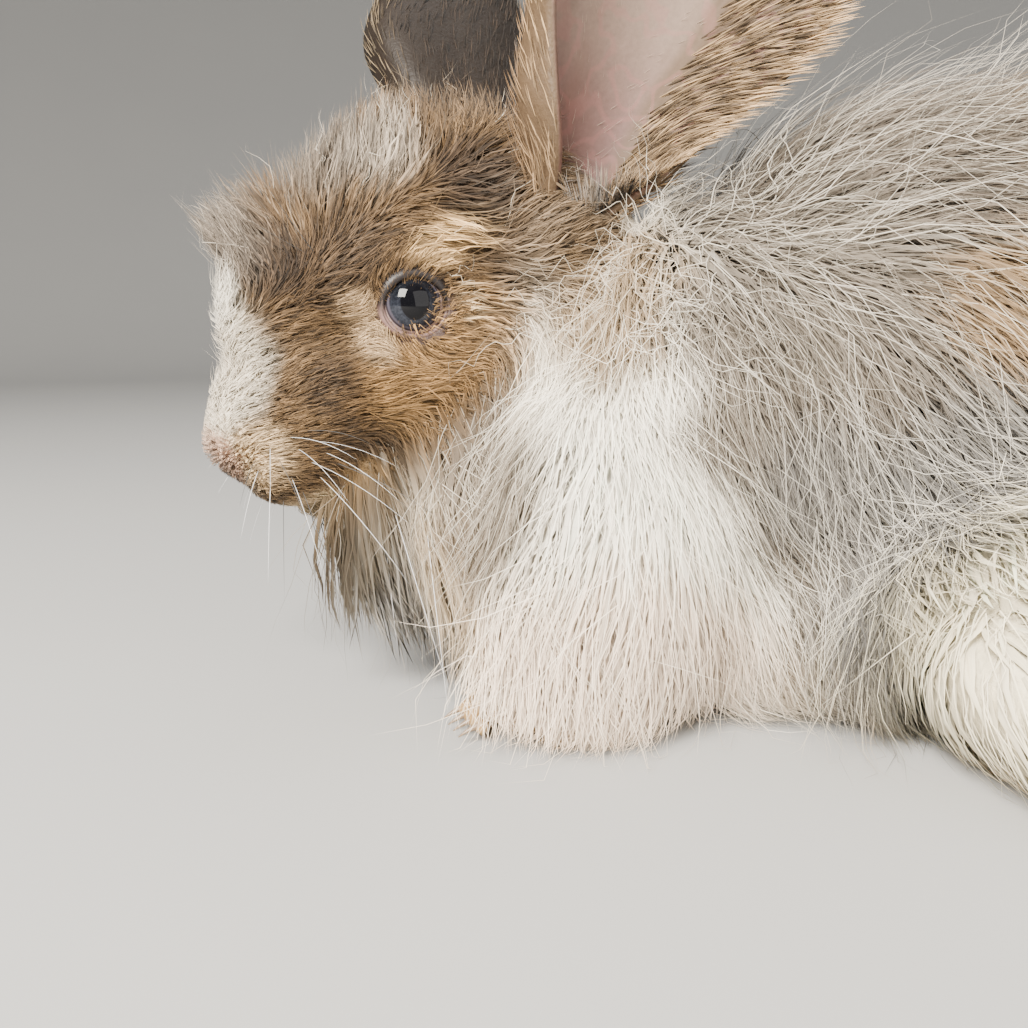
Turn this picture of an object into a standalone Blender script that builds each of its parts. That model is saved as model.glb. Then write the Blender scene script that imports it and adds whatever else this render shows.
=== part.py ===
"""An angora rabbit as a still, life-size model, crouched with its head turned.

Metres, +Z up, the floor at Z = 0. The rabbit faces -X and its left side is at
-Y. The origin is on the floor, in the flat on which the belly rests.
"""
import math
import random

import bmesh
import bpy
from mathutils import Matrix, Vector
from mathutils.bvhtree import BVHTree

MM = 0.001

# Driving dimensions of the whole animal: the gap between nodes, the growth of a seat that
# another node is let into, and how much of the coat's depth the core under the locks fills
GAP = 0.3 * MM
SEAT_GROWTH = 0.4 * MM
CORE_SHARE = 0.5
FLOOR_CLEARANCE = 1.2 * MM
WORLD_SPAN = 0.8

# How finely the masses are blended: voxel sizes, softening and numbers of faces
TRUNK_VOXEL = 3.0 * MM
HEAD_VOXEL = 1.6 * MM
LEG_VOXEL = 2.0 * MM
SOFTEN_FACTOR = 0.8
SOFTEN_STEPS = 8
CORE_FACES = 800
HEAD_FACES = 1700
LEG_FACES = 300
TAIL_FACES = 160
MERGE_DISTANCE = 0.0002 * MM
TUBE_MERGE = 0.01 * MM
FLAT_ANGLE = math.radians(0.05)

# Head: where the mid point between the eyes is, and how the head is turned
HEAD_PLACE = Vector((-106.6, -1.5, 100.6)) * MM
HEAD_YAW = math.radians(20)
HEAD_PITCH = math.radians(35)
EYE_RADIUS = 9.0 * MM
EYE_SIDE = 19.5 * MM
LID_THICKNESS = 1.5 * MM
EYE_SLIT = Vector((8.0, 7.6, 6.9)) * MM
EYE_SEGMENTS = 16
EYE_RINGS = 8

# Ears: root, pointing and opening directions, length and width
EAR_ROOT = Vector((19.0, -39.0, -7.0)) * MM
EAR_WALL = 2.4 * MM
EAR_HALF_WIDTH = 35.5 * MM
EAR_ROOT_RADIUS = 9.0 * MM
EAR_BURR = Vector((13.0, 13.0, 12.0)) * MM
EAR_SUNK = 36.0 * MM
EAR_ROWS = 11
EAR_COLUMNS = 7
# Share of its length at which an ear is widest, and how blunt its tip is
EAR_WIDEST = 0.6
EAR_END = 1.005
EAR_BLUNTNESS = 1.0
# Half angle of an ear's roll at its root, how much it opens, and by what share of its length
EAR_ROLL = 150
EAR_OPENS = 88
EAR_OPENED = 0.4
EAR_OPENS_ABOVE = 24
EARS = {
    "ear_left": {
        "side": -1,
        "points": Vector((0.453, -0.085, 0.888)),
        "opens": Vector((0.342, -0.940, 0.0)),
        "length": 120 * MM,
    },
    "ear_right": {
        "side": 1,
        "points": Vector((-0.08, 0.62, 0.78)),
        "opens": Vector((-0.643, 0.766, 0.0)),
        "length": 114 * MM,
    },
}

# Masses of the head in its own axes, right, forward and up, in millimetres
HEAD_FORMS = (
    ("cranium", (0, -10, 6), (27, 34, 29)),
    ("poll", (0, -36, 0), (25, 24, 26)),
    ("forehead", (0, 17, 10), (17, 24, 22)),
    ("mid_face", (0, 22, -8), (22, 26, 21)),
    ("muzzle", (0, 38, -6), (13, 19, 16)),
    ("nose", (0, 50, -4), (6.5, 8, 7)),
    ("pad_left", (-7.5, 41, -15), (9, 14, 10)),
    ("pad_right", (7.5, 41, -15), (9, 14, 10)),
    ("cheek_left", (-16, -2, -16), (15, 26, 23)),
    ("cheek_right", (16, -2, -16), (15, 26, 23)),
    ("brow_left", (-17, 2, 12), (9, 16, 9)),
    ("brow_right", (17, 2, 12), (9, 16, 9)),
    ("chin", (0, 37, -27), (9, 12, 8)),
    ("jaw", (0, 12, -27), (18, 30, 14)),
)
NOSTRIL = {"place": (3.8, 56.0, -6.5), "radii": (3.3, 3.0, 1.0), "tilt": math.radians(38)}
CLEFT = {"place": (0.0, 56.5, -13.5), "radii": (0.7, 3.0, 6.0)}
MOUTH = ((13.0, 28, -26), (12, 37, -24.5), (9.5, 46, -23), (5.5, 53, -21), (0, 55, -19.5))
LIP_RADIUS = 1.9 * MM
MOUTH_RADIUS = 0.8 * MM
MOUTH_BEYOND_LIPS = 1.3 * MM

# Masses of the trunk: centre, flesh radii, and depth of coat, in millimetres
TRUNK_FORMS = (
    ("nape", (-56, 2, 91), (22, 22, 27), (12, 16, 16)),
    ("throat", (-76, -6, 60), (18, 18, 22), (12, 14, 20)),
    ("beard", (-84, -10, 44), (12, 12, 14), (16, 14, 18)),
    ("shoulders", (-30, -2, 72), (32, 32, 44), (16, 26, 26)),
    ("breast", (-52, -15, 42), (25, 29, 36), (22, 26, 12)),
    ("bib", (-64, -20, 30), (16, 18, 18), (18, 22, 16)),
    ("barrel", (18, 6, 79), (46, 40, 53), (20, 30, 38)),
    ("loins", (64, 14, 75), (44, 42, 59), (28, 30, 40)),
    ("belly", (12, 4, 28), (58, 34, 31), (6, 20, 1)),
)

# Thin cuts that part the animal: a point of the plane, and its rearward normal
CUTS = {
    "behind_head": (Vector((-55, 2, 108)) * MM, Vector((0.90, 0.12, -0.42)).normalized()),
    "before_chest": (Vector((-24, 8, 100)) * MM, Vector((0.80, 0.10, -0.59)).normalized()),
    "behind_chest": (Vector((-16, 0, 64)) * MM, Vector((0.99, 0.0, 0.12)).normalized()),
    "before_rump": (Vector((58, 0, 70)) * MM, Vector((0.98, 0.10, 0.17)).normalized()),
}
# Each length of the animal: the cuts that bound it, and on which side it is
LENGTHS = {
    "head": (("behind_head", -1),),
    "neck": (("behind_head", 1), ("before_chest", -1), ("behind_chest", -1)),
    "chest": (("before_chest", 1), ("behind_chest", -1)),
    "torso": (("behind_chest", 1), ("before_rump", -1)),
    "rump": (("before_rump", 1),),
}

# Legs: masses from the body to the toes, toe line and toe width
LEGS = {
    "foreleg_left": {
        "forms": (((-46, -22, 42), (11, 11, 20)), ((-58, -27, 20), (9, 9, 18)),
                  ((-71, -32, 7), (15, 8, 8))),
        "toes_from": (-79, -34, 4.5), "toes_to": (-87, -37, 4), "toe_width": 4.0,
    },
    "foreleg_right": {
        "forms": (((-48, 12, 42), (11, 11, 20)), ((-58, 14, 20), (9, 9, 18)),
                  ((-71, 12, 7), (16, 9, 8))),
        "toes_from": (-79, 11, 4.5), "toes_to": (-88, 9, 4), "toe_width": 4.2,
    },
    "hind_leg_left": {
        "forms": (((48, -32, 30), (30, 24, 27)), ((37, -56, 20), (23, 30, 20)),
                  ((44, -84, 13), (18, 30, 14)), ((54, -107, 8), (13, 17, 9))),
        "toes_from": (58, -113, 5), "toes_to": (61, -123, 4.5), "toe_width": 5.4,
    },
    "hind_leg_right": {
        "forms": (((62, 48, 34), (32, 22, 30)), ((84, 56, 16), (26, 16, 16)),
                  ((56, 62, 10), (32, 12, 11)), ((34, 65, 8), (16, 12, 9))),
        "toes_from": (28, 66, 5), "toes_to": (18, 67, 4.5), "toe_width": 5.4,
    },
}
TOES = 4
TOE_RADII = Vector((0.75, 0.75, 0.8))
TOE_SPACING = 0.95
TOE_MIDDLE = 0.7
CLAW_SPACING = 1.05
CLAW_DROP = -0.3
CLAW_LENGTH = 5.0 * MM
CLAW_RADIUS = 1.6 * MM
CLAW_TIP_RADIUS = 0.3 * MM
CLAW_SEGMENTS = 5

TAIL_FORMS = (((122, 26, 42), (14, 12, 16)), ((134, 29, 52), (11, 11, 14)))

# Locks of the coat: spacing of their roots, length, width, thickness and height, in millimetres
LOCKS = {
    "trunk": {"spacing": 19.9, "length": 60, "width": 25, "thick": 8, "height": 19, "sunk": 5},
    "crown": {"spacing": 11.5, "length": 20, "width": 16, "thick": 6, "height": 5, "sunk": 3},
    "cheek": {"spacing": 14.0, "length": 28, "width": 15, "thick": 6, "height": 6, "sunk": 3},
    "beard": {"spacing": 13.5, "length": 38, "width": 16, "thick": 6, "height": 2, "sunk": 4},
    "leg": {"spacing": 23.0, "length": 32, "width": 20, "thick": 6, "height": 6, "sunk": 3},
    "tail": {"spacing": 16.0, "length": 24, "width": 15, "thick": 6, "height": 7, "sunk": 3},
}
# Stations along a lock: share of its length, of its height, of its width and of its thickness
STATIONS = ((0.0, 0.0, 0.65, 0.9), (0.28, 0.42, 1.0, 1.0), (0.56, 0.75, 0.9, 0.8), (0.82, 0.95, 0.5, 0.5))
# How far a lock hangs straight instead of following the skin, on top and underneath
HANGS = (0.2, 1.0)
# How much locks vary in size, turn from the lie and bend, and where the roots are tried
LOCK_SIZES = (0.86, 1.14)
LOCK_TURN = 14
LOCK_BEND = 0.16
ROOT_TRIALS = 5000
SEED = 7
# A lock that touches another node is raised, then shortened, and at last left out
TRIES = 7
RAISES = 2
RAISE = 1.25
SHORTEN = {"length": 0.8, "height": 0.7, "width": 0.9}
SHORTEN_AT_FLOOR = 0.86

# Where the locks grow: lowest root on the trunk, and how far into the head and onto the neck
LOWEST_ROOT = 14 * MM
INTO_HEAD = -12 * MM
ONTO_NECK = 2 * MM
FACES_DOWN = -0.35
# Size of the trunk's locks in front, what they gain behind, and on the back
FRONT_SIZE = 0.8
REAR_GAIN = 0.2
BACK_GAIN = 0.15
GAINS_FROM = -75 * MM
GAINS_OVER = 80 * MM
# Lie of the trunk's locks on its sides, and what is added behind the shoulder and on the back
TRUNK_LIE = Vector((0.15, 0.0, -1.0))
LIE_BEHIND = Vector((0.45, 0.0, 0.0))
LIE_ON_BACK = Vector((1.2, 0.3, 0.5))
BEHIND_FROM = -60 * MM
BEHIND_OVER = 70 * MM
SPINE_Y = 6 * MM
# Lies of the other locks; those of the crown and cheeks are in the head's own axes
FOREHEAD_LIE = Vector((0.0, 0.7, 0.3))
CROWN_LIE = Vector((0.0, -0.7, 0.3))
CHEEK_LIE = Vector((0.0, -0.8, -0.5))
BEARD_LIE = Vector((0.2, -0.05, -1.0))
LEG_LIE = Vector((0.5, 0.0, -1.0))
LEG_LIE_OUTWARD = 0.2
TAIL_LIE = Vector((0.6, 0.0, 0.8))
CROWN_AREA = {"above": 22, "behind": -30, "before": 32, "beside": 16}
CROWN_PARTING = 8
CHEEK_AREA = {"beside": 16, "before": -16, "below": 2}
BEARD_AREA = {"below": -24, "before": 28, "faces_down": -0.3}
LEG_LOWEST_ROOT = 9 * MM
LEG_FACES_DOWN = -0.1
TAIL_FREE_X = 126 * MM
TAIL_FREE_Z = 50 * MM

# Finishes: base colour, roughness
FINISHES = {
    "head": ((0.36, 0.25, 0.15), 0.85),
    "neck": ((0.66, 0.58, 0.48), 0.9),
    "chest": ((0.88, 0.84, 0.77), 0.9),
    "torso": ((0.50, 0.46, 0.42), 0.9),
    "rump": ((0.52, 0.46, 0.40), 0.9),
    "tail": ((0.62, 0.57, 0.50), 0.9),
    "ear": ((0.46, 0.34, 0.24), 0.8),
    "eye": ((0.06, 0.06, 0.08), 0.1),
    "foreleg": ((0.80, 0.70, 0.52), 0.85),
    "hind_leg": ((0.86, 0.80, 0.70), 0.9),
}


def clear_scene():
    """Remove every object, so that the script starts from nothing."""
    for thing in list(bpy.data.objects):
        bpy.data.objects.remove(thing, do_unlink=True)


def collection_named(name):
    """A new collection under the scene's own."""
    group = bpy.data.collections.new(name)
    bpy.context.scene.collection.children.link(group)
    return group


def head_axes():
    """World matrix of the head's axes: right, forward and up."""
    ahead = Vector((-math.cos(HEAD_YAW), -math.sin(HEAD_YAW), 0))
    forward = ahead * math.cos(HEAD_PITCH) - Vector((0, 0, 1)) * math.sin(HEAD_PITCH)
    up = ahead * math.sin(HEAD_PITCH) + Vector((0, 0, 1)) * math.cos(HEAD_PITCH)
    right = forward.cross(up)
    turn = Matrix((right, forward, up)).transposed().to_4x4()
    return Matrix.Translation(HEAD_PLACE) @ turn


def new_object(name, bm, group):
    """A mesh object made from a bmesh, which is freed."""
    mesh = bpy.data.meshes.new(name)
    bm.to_mesh(mesh)
    bm.free()
    thing = bpy.data.objects.new(name, mesh)
    group.objects.link(thing)
    return thing


def settle(thing):
    """Apply all the modifiers of an object to its mesh."""
    graph = bpy.context.evaluated_depsgraph_get()
    made = bpy.data.meshes.new_from_object(thing.evaluated_get(graph))
    old = thing.data
    thing.modifiers.clear()
    thing.data = made
    bpy.data.meshes.remove(old)


def ellipsoid(bm, centre, radii, turn=Matrix.Identity(4), detail=3):
    """Add an ellipsoid to a bmesh, with its sizes in metres."""
    size = Matrix.Diagonal((*radii, 1))
    place = turn @ Matrix.Translation(centre) @ size
    bmesh.ops.create_icosphere(bm, subdivisions=detail, radius=1, matrix=place)


def largest_surface(thing):
    """Keep only the largest closed surface of a mesh."""
    bm = bmesh.new()
    bm.from_mesh(thing.data)
    bm.faces.ensure_lookup_table()
    seen = set()
    shells = []
    for first in bm.faces:
        if first.index in seen:
            continue
        shell = []
        queue = [first]
        seen.add(first.index)
        while queue:
            face = queue.pop()
            shell.append(face)
            for edge in face.edges:
                for other in edge.link_faces:
                    if other.index not in seen:
                        seen.add(other.index)
                        queue.append(other)
        shells.append(shell)
    shells.sort(key=lambda shell: sum(face.calc_area() for face in shell))
    scraps = [face for shell in shells[:-1] for face in shell]
    bmesh.ops.delete(bm, geom=scraps, context="FACES")
    bm.to_mesh(thing.data)
    bm.free()


def blended(name, forms, turn, voxel, faces, group):
    """One smooth closed form that blends a set of ellipsoids."""
    bm = bmesh.new()
    for centre, radii in forms:
        ellipsoid(bm, Vector(centre) * MM, Vector(radii) * MM)
    thing = new_object(name, bm, group)
    remesh = thing.modifiers.new("one_skin", "REMESH")
    remesh.mode = "VOXEL"
    remesh.voxel_size = voxel
    smooth = thing.modifiers.new("soften", "SMOOTH")
    smooth.factor = SOFTEN_FACTOR
    smooth.iterations = SOFTEN_STEPS
    settle(thing)
    largest_surface(thing)
    triangles = sum(len(face.vertices) - 2 for face in thing.data.polygons)
    thin = thing.modifiers.new("fewer_faces", "DECIMATE")
    thin.ratio = faces / triangles
    thin.use_collapse_triangulate = True
    settle(thing)
    thing.data.transform(turn)
    return thing


def join_flat_faces(thing):
    """Merge the flat faces that joining has split, then make triangles again."""
    bm = bmesh.new()
    bm.from_mesh(thing.data)
    bmesh.ops.remove_doubles(bm, verts=bm.verts[:], dist=MERGE_DISTANCE)
    bmesh.ops.dissolve_limit(
        bm, angle_limit=FLAT_ANGLE, verts=bm.verts[:], edges=bm.edges[:])
    bmesh.ops.triangulate(bm, faces=bm.faces[:])
    bm.to_mesh(thing.data)
    bm.free()


def combine(base, others, operation, group):
    """Join, cut or keep with closed objects, which are then removed."""
    tools = bpy.data.collections.new("tools")
    bpy.context.scene.collection.children.link(tools)
    for other in others:
        group.objects.unlink(other)
        tools.objects.link(other)
        other.display_type = "WIRE"
        other.hide_render = True
    change = base.modifiers.new(operation.lower(), "BOOLEAN")
    change.operation = operation
    change.solver = "MANIFOLD"
    change.operand_type = "COLLECTION"
    change.collection = tools
    settle(base)
    for other in list(tools.objects):
        bpy.data.objects.remove(other, do_unlink=True)
    bpy.data.collections.remove(tools)


def copy_of(thing, group):
    """A copy of an object with its own mesh."""
    twin = thing.copy()
    twin.data = thing.data.copy()
    group.objects.link(twin)
    return twin


def signed_distance(point, cut):
    """How far a point lies behind one of the thin cuts."""
    at, normal = CUTS[cut]
    return (point - at).dot(normal)


def region(length, group):
    """The space of one length of the animal, between its thin cuts."""
    bm = bmesh.new()
    centre = Matrix.Translation((0, 0, WORLD_SPAN / 2))
    bmesh.ops.create_cube(bm, size=WORLD_SPAN, matrix=centre)
    for cut, side in LENGTHS[length]:
        at, normal = CUTS[cut]
        outward = -side * normal
        plane = at - outward * GAP / 2
        geometry = bm.verts[:] + bm.edges[:] + bm.faces[:]
        found = bmesh.ops.bisect_plane(
            bm, geom=geometry, plane_co=plane, plane_no=outward, clear_outer=True)
        rim = [item for item in found["geom_cut"] if isinstance(item, bmesh.types.BMEdge)]
        bmesh.ops.edgeloop_fill(bm, edges=rim)
    bmesh.ops.recalc_face_normals(bm, faces=bm.faces[:])
    return new_object("region_" + length, bm, group)


def hull_around(points, name, grow, group):
    """The convex hull of some points, grown a little all round."""
    bm = bmesh.new()
    for point in points:
        bm.verts.new(point)
    found = bmesh.ops.convex_hull(bm, input=bm.verts[:])
    inner = [item for item in found["geom_interior"] if isinstance(item, bmesh.types.BMVert)]
    bmesh.ops.delete(bm, geom=inner, context="VERTS")
    bmesh.ops.recalc_face_normals(bm, faces=bm.faces[:])
    bm.normal_update()
    for vertex in bm.verts:
        vertex.co += vertex.normal * grow
    return new_object(name, bm, group)


def tube(name, points, radius, group):
    """A closed round tube along a line of points."""
    curve = bpy.data.curves.new(name, "CURVE")
    curve.dimensions = "3D"
    curve.bevel_depth = radius
    curve.bevel_resolution = 1
    curve.use_fill_caps = True
    spline = curve.splines.new("POLY")
    spline.points.add(len(points) - 1)
    for place, point in zip(spline.points, points):
        place.co = (*point, 1)
    line = bpy.data.objects.new(name, curve)
    group.objects.link(line)
    graph = bpy.context.evaluated_depsgraph_get()
    bm = bmesh.new()
    bm.from_mesh(bpy.data.meshes.new_from_object(line.evaluated_get(graph)))
    bmesh.ops.remove_doubles(bm, verts=bm.verts[:], dist=TUBE_MERGE)
    bmesh.ops.recalc_face_normals(bm, faces=bm.faces[:])
    bpy.data.objects.remove(line, do_unlink=True)
    return new_object(name, bm, group)


def in_order(bm):
    """The same mesh with its corners and faces in a fixed order; the old one is freed."""
    corners = sorted(bm.verts, key=lambda vertex: tuple(round(size, 7) for size in vertex.co))
    place = {vertex: index for index, vertex in enumerate(corners)}
    rings = []
    for face in bm.faces:
        ring = [place[vertex] for vertex in face.verts]
        first = ring.index(min(ring))
        rings.append(ring[first:] + ring[:first])
    ordered = bmesh.new()
    made = [ordered.verts.new(vertex.co) for vertex in corners]
    for ring in sorted(rings):
        ordered.faces.new([made[index] for index in ring])
    bm.free()
    return ordered


def eye_ball(name, side, radius, group):
    """One eye as a ball in its socket, with its poles to the sides."""
    bm = bmesh.new()
    place = Matrix.Translation((side * EYE_SIDE, 0, 0)) @ Matrix.Rotation(math.pi / 2, 4, "Y")
    bmesh.ops.create_uvsphere(bm, u_segments=EYE_SEGMENTS, v_segments=EYE_RINGS,
                              radius=radius, matrix=head_axes() @ place)
    return new_object(name, in_order(bm), group)


def mouth_line(skin):
    """Points of the closed mouth from corner to corner, on the skin."""
    left = [Vector((-x, y, z)) for x, y, z in MOUTH[:-1]]
    right = [Vector(point) for point in reversed(MOUTH[:-1])]
    rough = [point * MM for point in left + [Vector(MOUTH[-1])] + right]
    line = []
    for point in rough:
        line.append(skin.find_nearest(head_axes() @ point)[0])
    return line


def lengthened(line, extra):
    """A line of points with a further point beyond each end."""
    before = line[0] + (line[0] - line[1]).normalized() * extra
    after = line[-1] + (line[-1] - line[-2]).normalized() * extra
    return [before] + line + [after]


def head_mass(group):
    """The head with its lids, lips, mouth line, nostrils and cleft."""
    axes = head_axes()
    forms = [(centre, radii) for _, centre, radii in HEAD_FORMS]
    head = blended("head_mass", forms, axes, HEAD_VOXEL, HEAD_FACES, group)
    line = mouth_line(shell_of(head))
    added = [tube("lips", line, LIP_RADIUS, group)]
    for side in (-1, 1):
        added.append(eye_ball("lid", side, EYE_RADIUS + LID_THICKNESS, group))
    combine(head, added, "UNION", group)
    removed = [tube("mouth", lengthened(line, MOUTH_BEYOND_LIPS), MOUTH_RADIUS, group)]
    for side in (-1, 1):
        removed.append(eye_ball("socket", side, EYE_RADIUS + GAP, group))
        slit = bmesh.new()
        outside = Vector((side * (EYE_SIDE + EYE_RADIUS), 0, 0))
        ellipsoid(slit, outside, EYE_SLIT, axes, 2)
        removed.append(new_object("slit", slit, group))
        nostril = bmesh.new()
        x, y, z = (size * MM for size in NOSTRIL["place"])
        place = axes @ Matrix.Translation((side * x, y, z))
        place = place @ Matrix.Rotation(-side * NOSTRIL["tilt"], 4, "Y")
        ellipsoid(nostril, (0, 0, 0), Vector(NOSTRIL["radii"]) * MM, place, 2)
        removed.append(new_object("nostril", nostril, group))
    cleft = bmesh.new()
    ellipsoid(cleft, Vector(CLEFT["place"]) * MM, Vector(CLEFT["radii"]) * MM, axes, 2)
    removed.append(new_object("cleft", cleft, group))
    combine(head, removed, "DIFFERENCE", group)
    return head


def ease(x):
    """A smooth step from 0 to 1."""
    x = min(max(x, 0.0), 1.0)
    return x * x * (3 - 2 * x)


def ear_frame(ear):
    """Root point and the pointing, opening and side directions of an ear."""
    root = head_axes() @ Vector((ear["side"] * EAR_ROOT.x, EAR_ROOT.y, EAR_ROOT.z))
    points = ear["points"].normalized()
    opens = (ear["opens"] - points * ear["opens"].dot(points)).normalized()
    return root, points, opens, points.cross(opens)


def ear_blade(name, ear, group):
    """The ear as a cupped blade: rolled at its root, wide and rounded above."""
    root, points, opens, across = ear_frame(ear)
    bm = bmesh.new()
    grid = []
    for row in range(EAR_ROWS + 1):
        share = row / EAR_ROWS
        rise = ease(share / EAR_WIDEST)
        width = EAR_ROOT_RADIUS + (EAR_HALF_WIDTH - EAR_ROOT_RADIUS) * rise
        if share > EAR_WIDEST:
            beyond = (share - EAR_WIDEST) / (EAR_END - EAR_WIDEST)
            width *= (1 - beyond ** 2) ** (EAR_BLUNTNESS / 2)
        roll = EAR_ROLL - EAR_OPENS * ease(share / EAR_OPENED) - EAR_OPENS_ABOVE * share
        curl = math.radians(roll)
        radius = width / math.sin(min(curl, math.pi / 2))
        backbone = root + points * ear["length"] * share - opens * EAR_ROOT_RADIUS
        line = []
        for column in range(EAR_COLUMNS + 1):
            angle = curl * (2 * column / EAR_COLUMNS - 1)
            place = backbone + across * radius * math.sin(angle)
            line.append(bm.verts.new(place + opens * radius * (1 - math.cos(angle))))
        grid.append(line)
    for low, high in zip(grid, grid[1:]):
        for column in range(EAR_COLUMNS):
            bm.faces.new((low[column], low[column + 1], high[column + 1], high[column]))
    bmesh.ops.triangulate(bm, faces=bm.faces[:])
    blade = new_object(name, bm, group)
    shell = blade.modifiers.new("wall", "SOLIDIFY")
    shell.thickness = EAR_WALL
    shell.offset = 0
    settle(blade)
    return blade


def ear_burr(name, ear, group):
    """The round root of an ear, sunk in the head."""
    root, points, opens, across = ear_frame(ear)
    turn = Matrix((across, opens, points)).transposed().to_4x4()
    bm = bmesh.new()
    ellipsoid(bm, (0, 0, 0), EAR_BURR, Matrix.Translation(root) @ turn, 2)
    return new_object(name, bm, group)


def leg_mass(name, leg, group):
    """One leg with its toes, from the body to the floor."""
    forms = list(leg["forms"])
    start, end = Vector(leg["toes_from"]), Vector(leg["toes_to"])
    across = (end - start).cross(Vector((0, 0, 1))).normalized()
    width = leg["toe_width"]
    claws = []
    for toe in range(TOES):
        aside = across * (toe - (TOES - 1) / 2) * width * TOE_SPACING
        forms.append((start.lerp(end, TOE_MIDDLE) + aside, TOE_RADII * width))
        claws.append(end + aside * CLAW_SPACING)
    mass = blended(name, forms, Matrix.Identity(4), LEG_VOXEL, LEG_FACES, group)
    pointing = (end - start).normalized()
    pointing.z = CLAW_DROP
    cones = []
    for claw in claws:
        bm = bmesh.new()
        turn = pointing.to_track_quat("Z", "Y").to_matrix().to_4x4()
        place = Matrix.Translation(claw * MM) @ turn
        bmesh.ops.create_cone(bm, cap_ends=True, segments=CLAW_SEGMENTS, depth=CLAW_LENGTH,
                              radius1=CLAW_RADIUS, radius2=CLAW_TIP_RADIUS, matrix=place)
        cones.append(new_object("claw", bm, group))
    combine(mass, cones, "UNION", group)
    return mass


def shell_of(thing):
    """A search tree of an object's faces."""
    return BVHTree.FromObject(thing, bpy.context.evaluated_depsgraph_get())


def inside(point, shells):
    """Whether a point is inside any of some closed shells."""
    for shell in shells:
        near, normal = shell.find_nearest(point)[:2]
        if (point - near).dot(normal) < 0:
            return True
    return False


def spread(thing, spacing, grows, chance):
    """Roots spread evenly over a skin, no nearer to each other than a spacing."""
    faces = thing.data.polygons
    areas = [face.area for face in faces]
    corners = thing.data.vertices
    roots = []
    for face in chance.choices(list(faces), weights=areas, k=ROOT_TRIALS):
        a, b, c = (corners[index].co for index in face.vertices[:3])
        across, along = chance.random(), chance.random()
        if across + along > 1:
            across, along = 1 - across, 1 - along
        place = a + (b - a) * across + (c - a) * along
        share = grows(place, face.normal)
        if share <= 0:
            continue
        room = spacing * MM * share
        if all((place - other).length > room for other, _, _ in roots):
            roots.append((place, face.normal.copy(), share))
    return roots


def lock_shape(root, lie, size, skin, bend, grow=0.0):
    """Corners and faces of one lock, which follows the skin as it tapers to its tip."""
    corners = []
    length, height = size["length"] * MM, size["height"] * MM
    for along, rise, wide, deep in STATIONS:
        straight = root + lie * length * along
        near, normal = skin.find_nearest(straight)[:2]
        outward = (normal - lie * normal.dot(lie)).normalized()
        across = outward.cross(lie)
        lift = rise * height - (size["sunk"] * MM if along == 0 else 0)
        middle = near.lerp(straight, size["free"]) + outward * lift + across * bend * along ** 2
        if along == 0:
            middle = root - lie * size["sunk"] * MM * size["free"] + outward * lift
        half_width = size["width"] * MM * wide / 2 + grow
        half_depth = size["thick"] * MM * deep / 2 + grow
        corners.append(middle - across * half_width - outward * half_depth / 2)
        corners.append(middle + outward * half_depth)
        corners.append(middle + across * half_width - outward * half_depth / 2)
    tip = root + lie * length
    near, normal = skin.find_nearest(tip)[:2]
    outward = (normal - lie * normal.dot(lie)).normalized()
    tip = near.lerp(tip, size["free"]) + outward * height + outward.cross(lie) * bend
    corners.append(tip + lie * grow)
    faces = [(0, 1, 2)]
    for ring in range(len(STATIONS) - 1):
        for side in range(3):
            low, high = ring * 3 + side, ring * 3 + (side + 1) % 3
            faces.append((low, low + 3, high + 3))
            faces.append((low, high + 3, high))
    last = (len(STATIONS) - 1) * 3
    for side in range(3):
        faces.append((last + side, len(corners) - 1, last + (side + 1) % 3))
    return corners, faces


def folds(corners, faces):
    """Whether faces of a lock that share no corner cross each other."""
    tree = BVHTree.FromPolygons(corners, faces)
    return any(not set(faces[a]) & set(faces[b]) for a, b in tree.overlap(tree))


def touches(corners, faces, obstacles):
    """Whether a lock crosses other nodes, or has its tip in one."""
    tree = BVHTree.FromPolygons(corners, faces)
    return inside(corners[-1], obstacles) or any(tree.overlap(other) for other in obstacles)


def grow_locks(thing, kind, grows, lies, obstacles, chance, group):
    """Locks rooted all over a skin, each clear of the floor and of other nodes."""
    skin = shell_of(thing)
    made = []
    size = LOCKS[kind]
    for root, normal, share in spread(thing, size["spacing"], grows, chance):
        if inside(root, obstacles):
            continue
        flow = lies(root, normal).normalized()
        under = ease(-normal.z)
        lie = (flow - normal * flow.dot(normal) * (1 - under)).normalized()
        turn = math.radians(chance.uniform(-LOCK_TURN, LOCK_TURN))
        lie = Matrix.Rotation(turn, 3, normal) @ lie
        own = {key: value * share * chance.uniform(*LOCK_SIZES) for key, value in size.items()}
        own["free"] = HANGS[0] + (HANGS[1] - HANGS[0]) * under
        bend = chance.uniform(-LOCK_BEND, LOCK_BEND) * own["length"] * MM
        for attempt in range(TRIES):
            corners, faces = lock_shape(root, lie, own, skin, bend)
            grown = lock_shape(root, lie, own, skin, bend, 2 * GAP)[0]
            crossed = folds(corners, faces)
            if min(corner.z for corner in grown[3:]) < FLOOR_CLEARANCE:
                own["length"] *= SHORTEN_AT_FLOOR
            elif not crossed and not touches(grown, faces, obstacles):
                made.append(lock_object(corners, faces, group))
                break
            elif attempt < RAISES and not crossed:
                own["height"] *= RAISE
            else:
                for key, factor in SHORTEN.items():
                    own[key] *= factor
    return made


def lock_object(corners, faces, group):
    """One lock as a closed mesh that faces outwards."""
    bm = bmesh.new()
    made = [bm.verts.new(corner) for corner in corners]
    for face in faces:
        bm.faces.new([made[index] for index in face])
    bmesh.ops.recalc_face_normals(bm, faces=bm.faces[:])
    return new_object("lock", bm, group)


def above_floor(thing, group):
    """Cut off what would reach below the floor."""
    bm = bmesh.new()
    bmesh.ops.create_cube(bm, size=WORLD_SPAN, matrix=Matrix.Translation((0, 0, WORLD_SPAN / 2)))
    combine(thing, [new_object("air", bm, group)], "INTERSECT", group)


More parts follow.
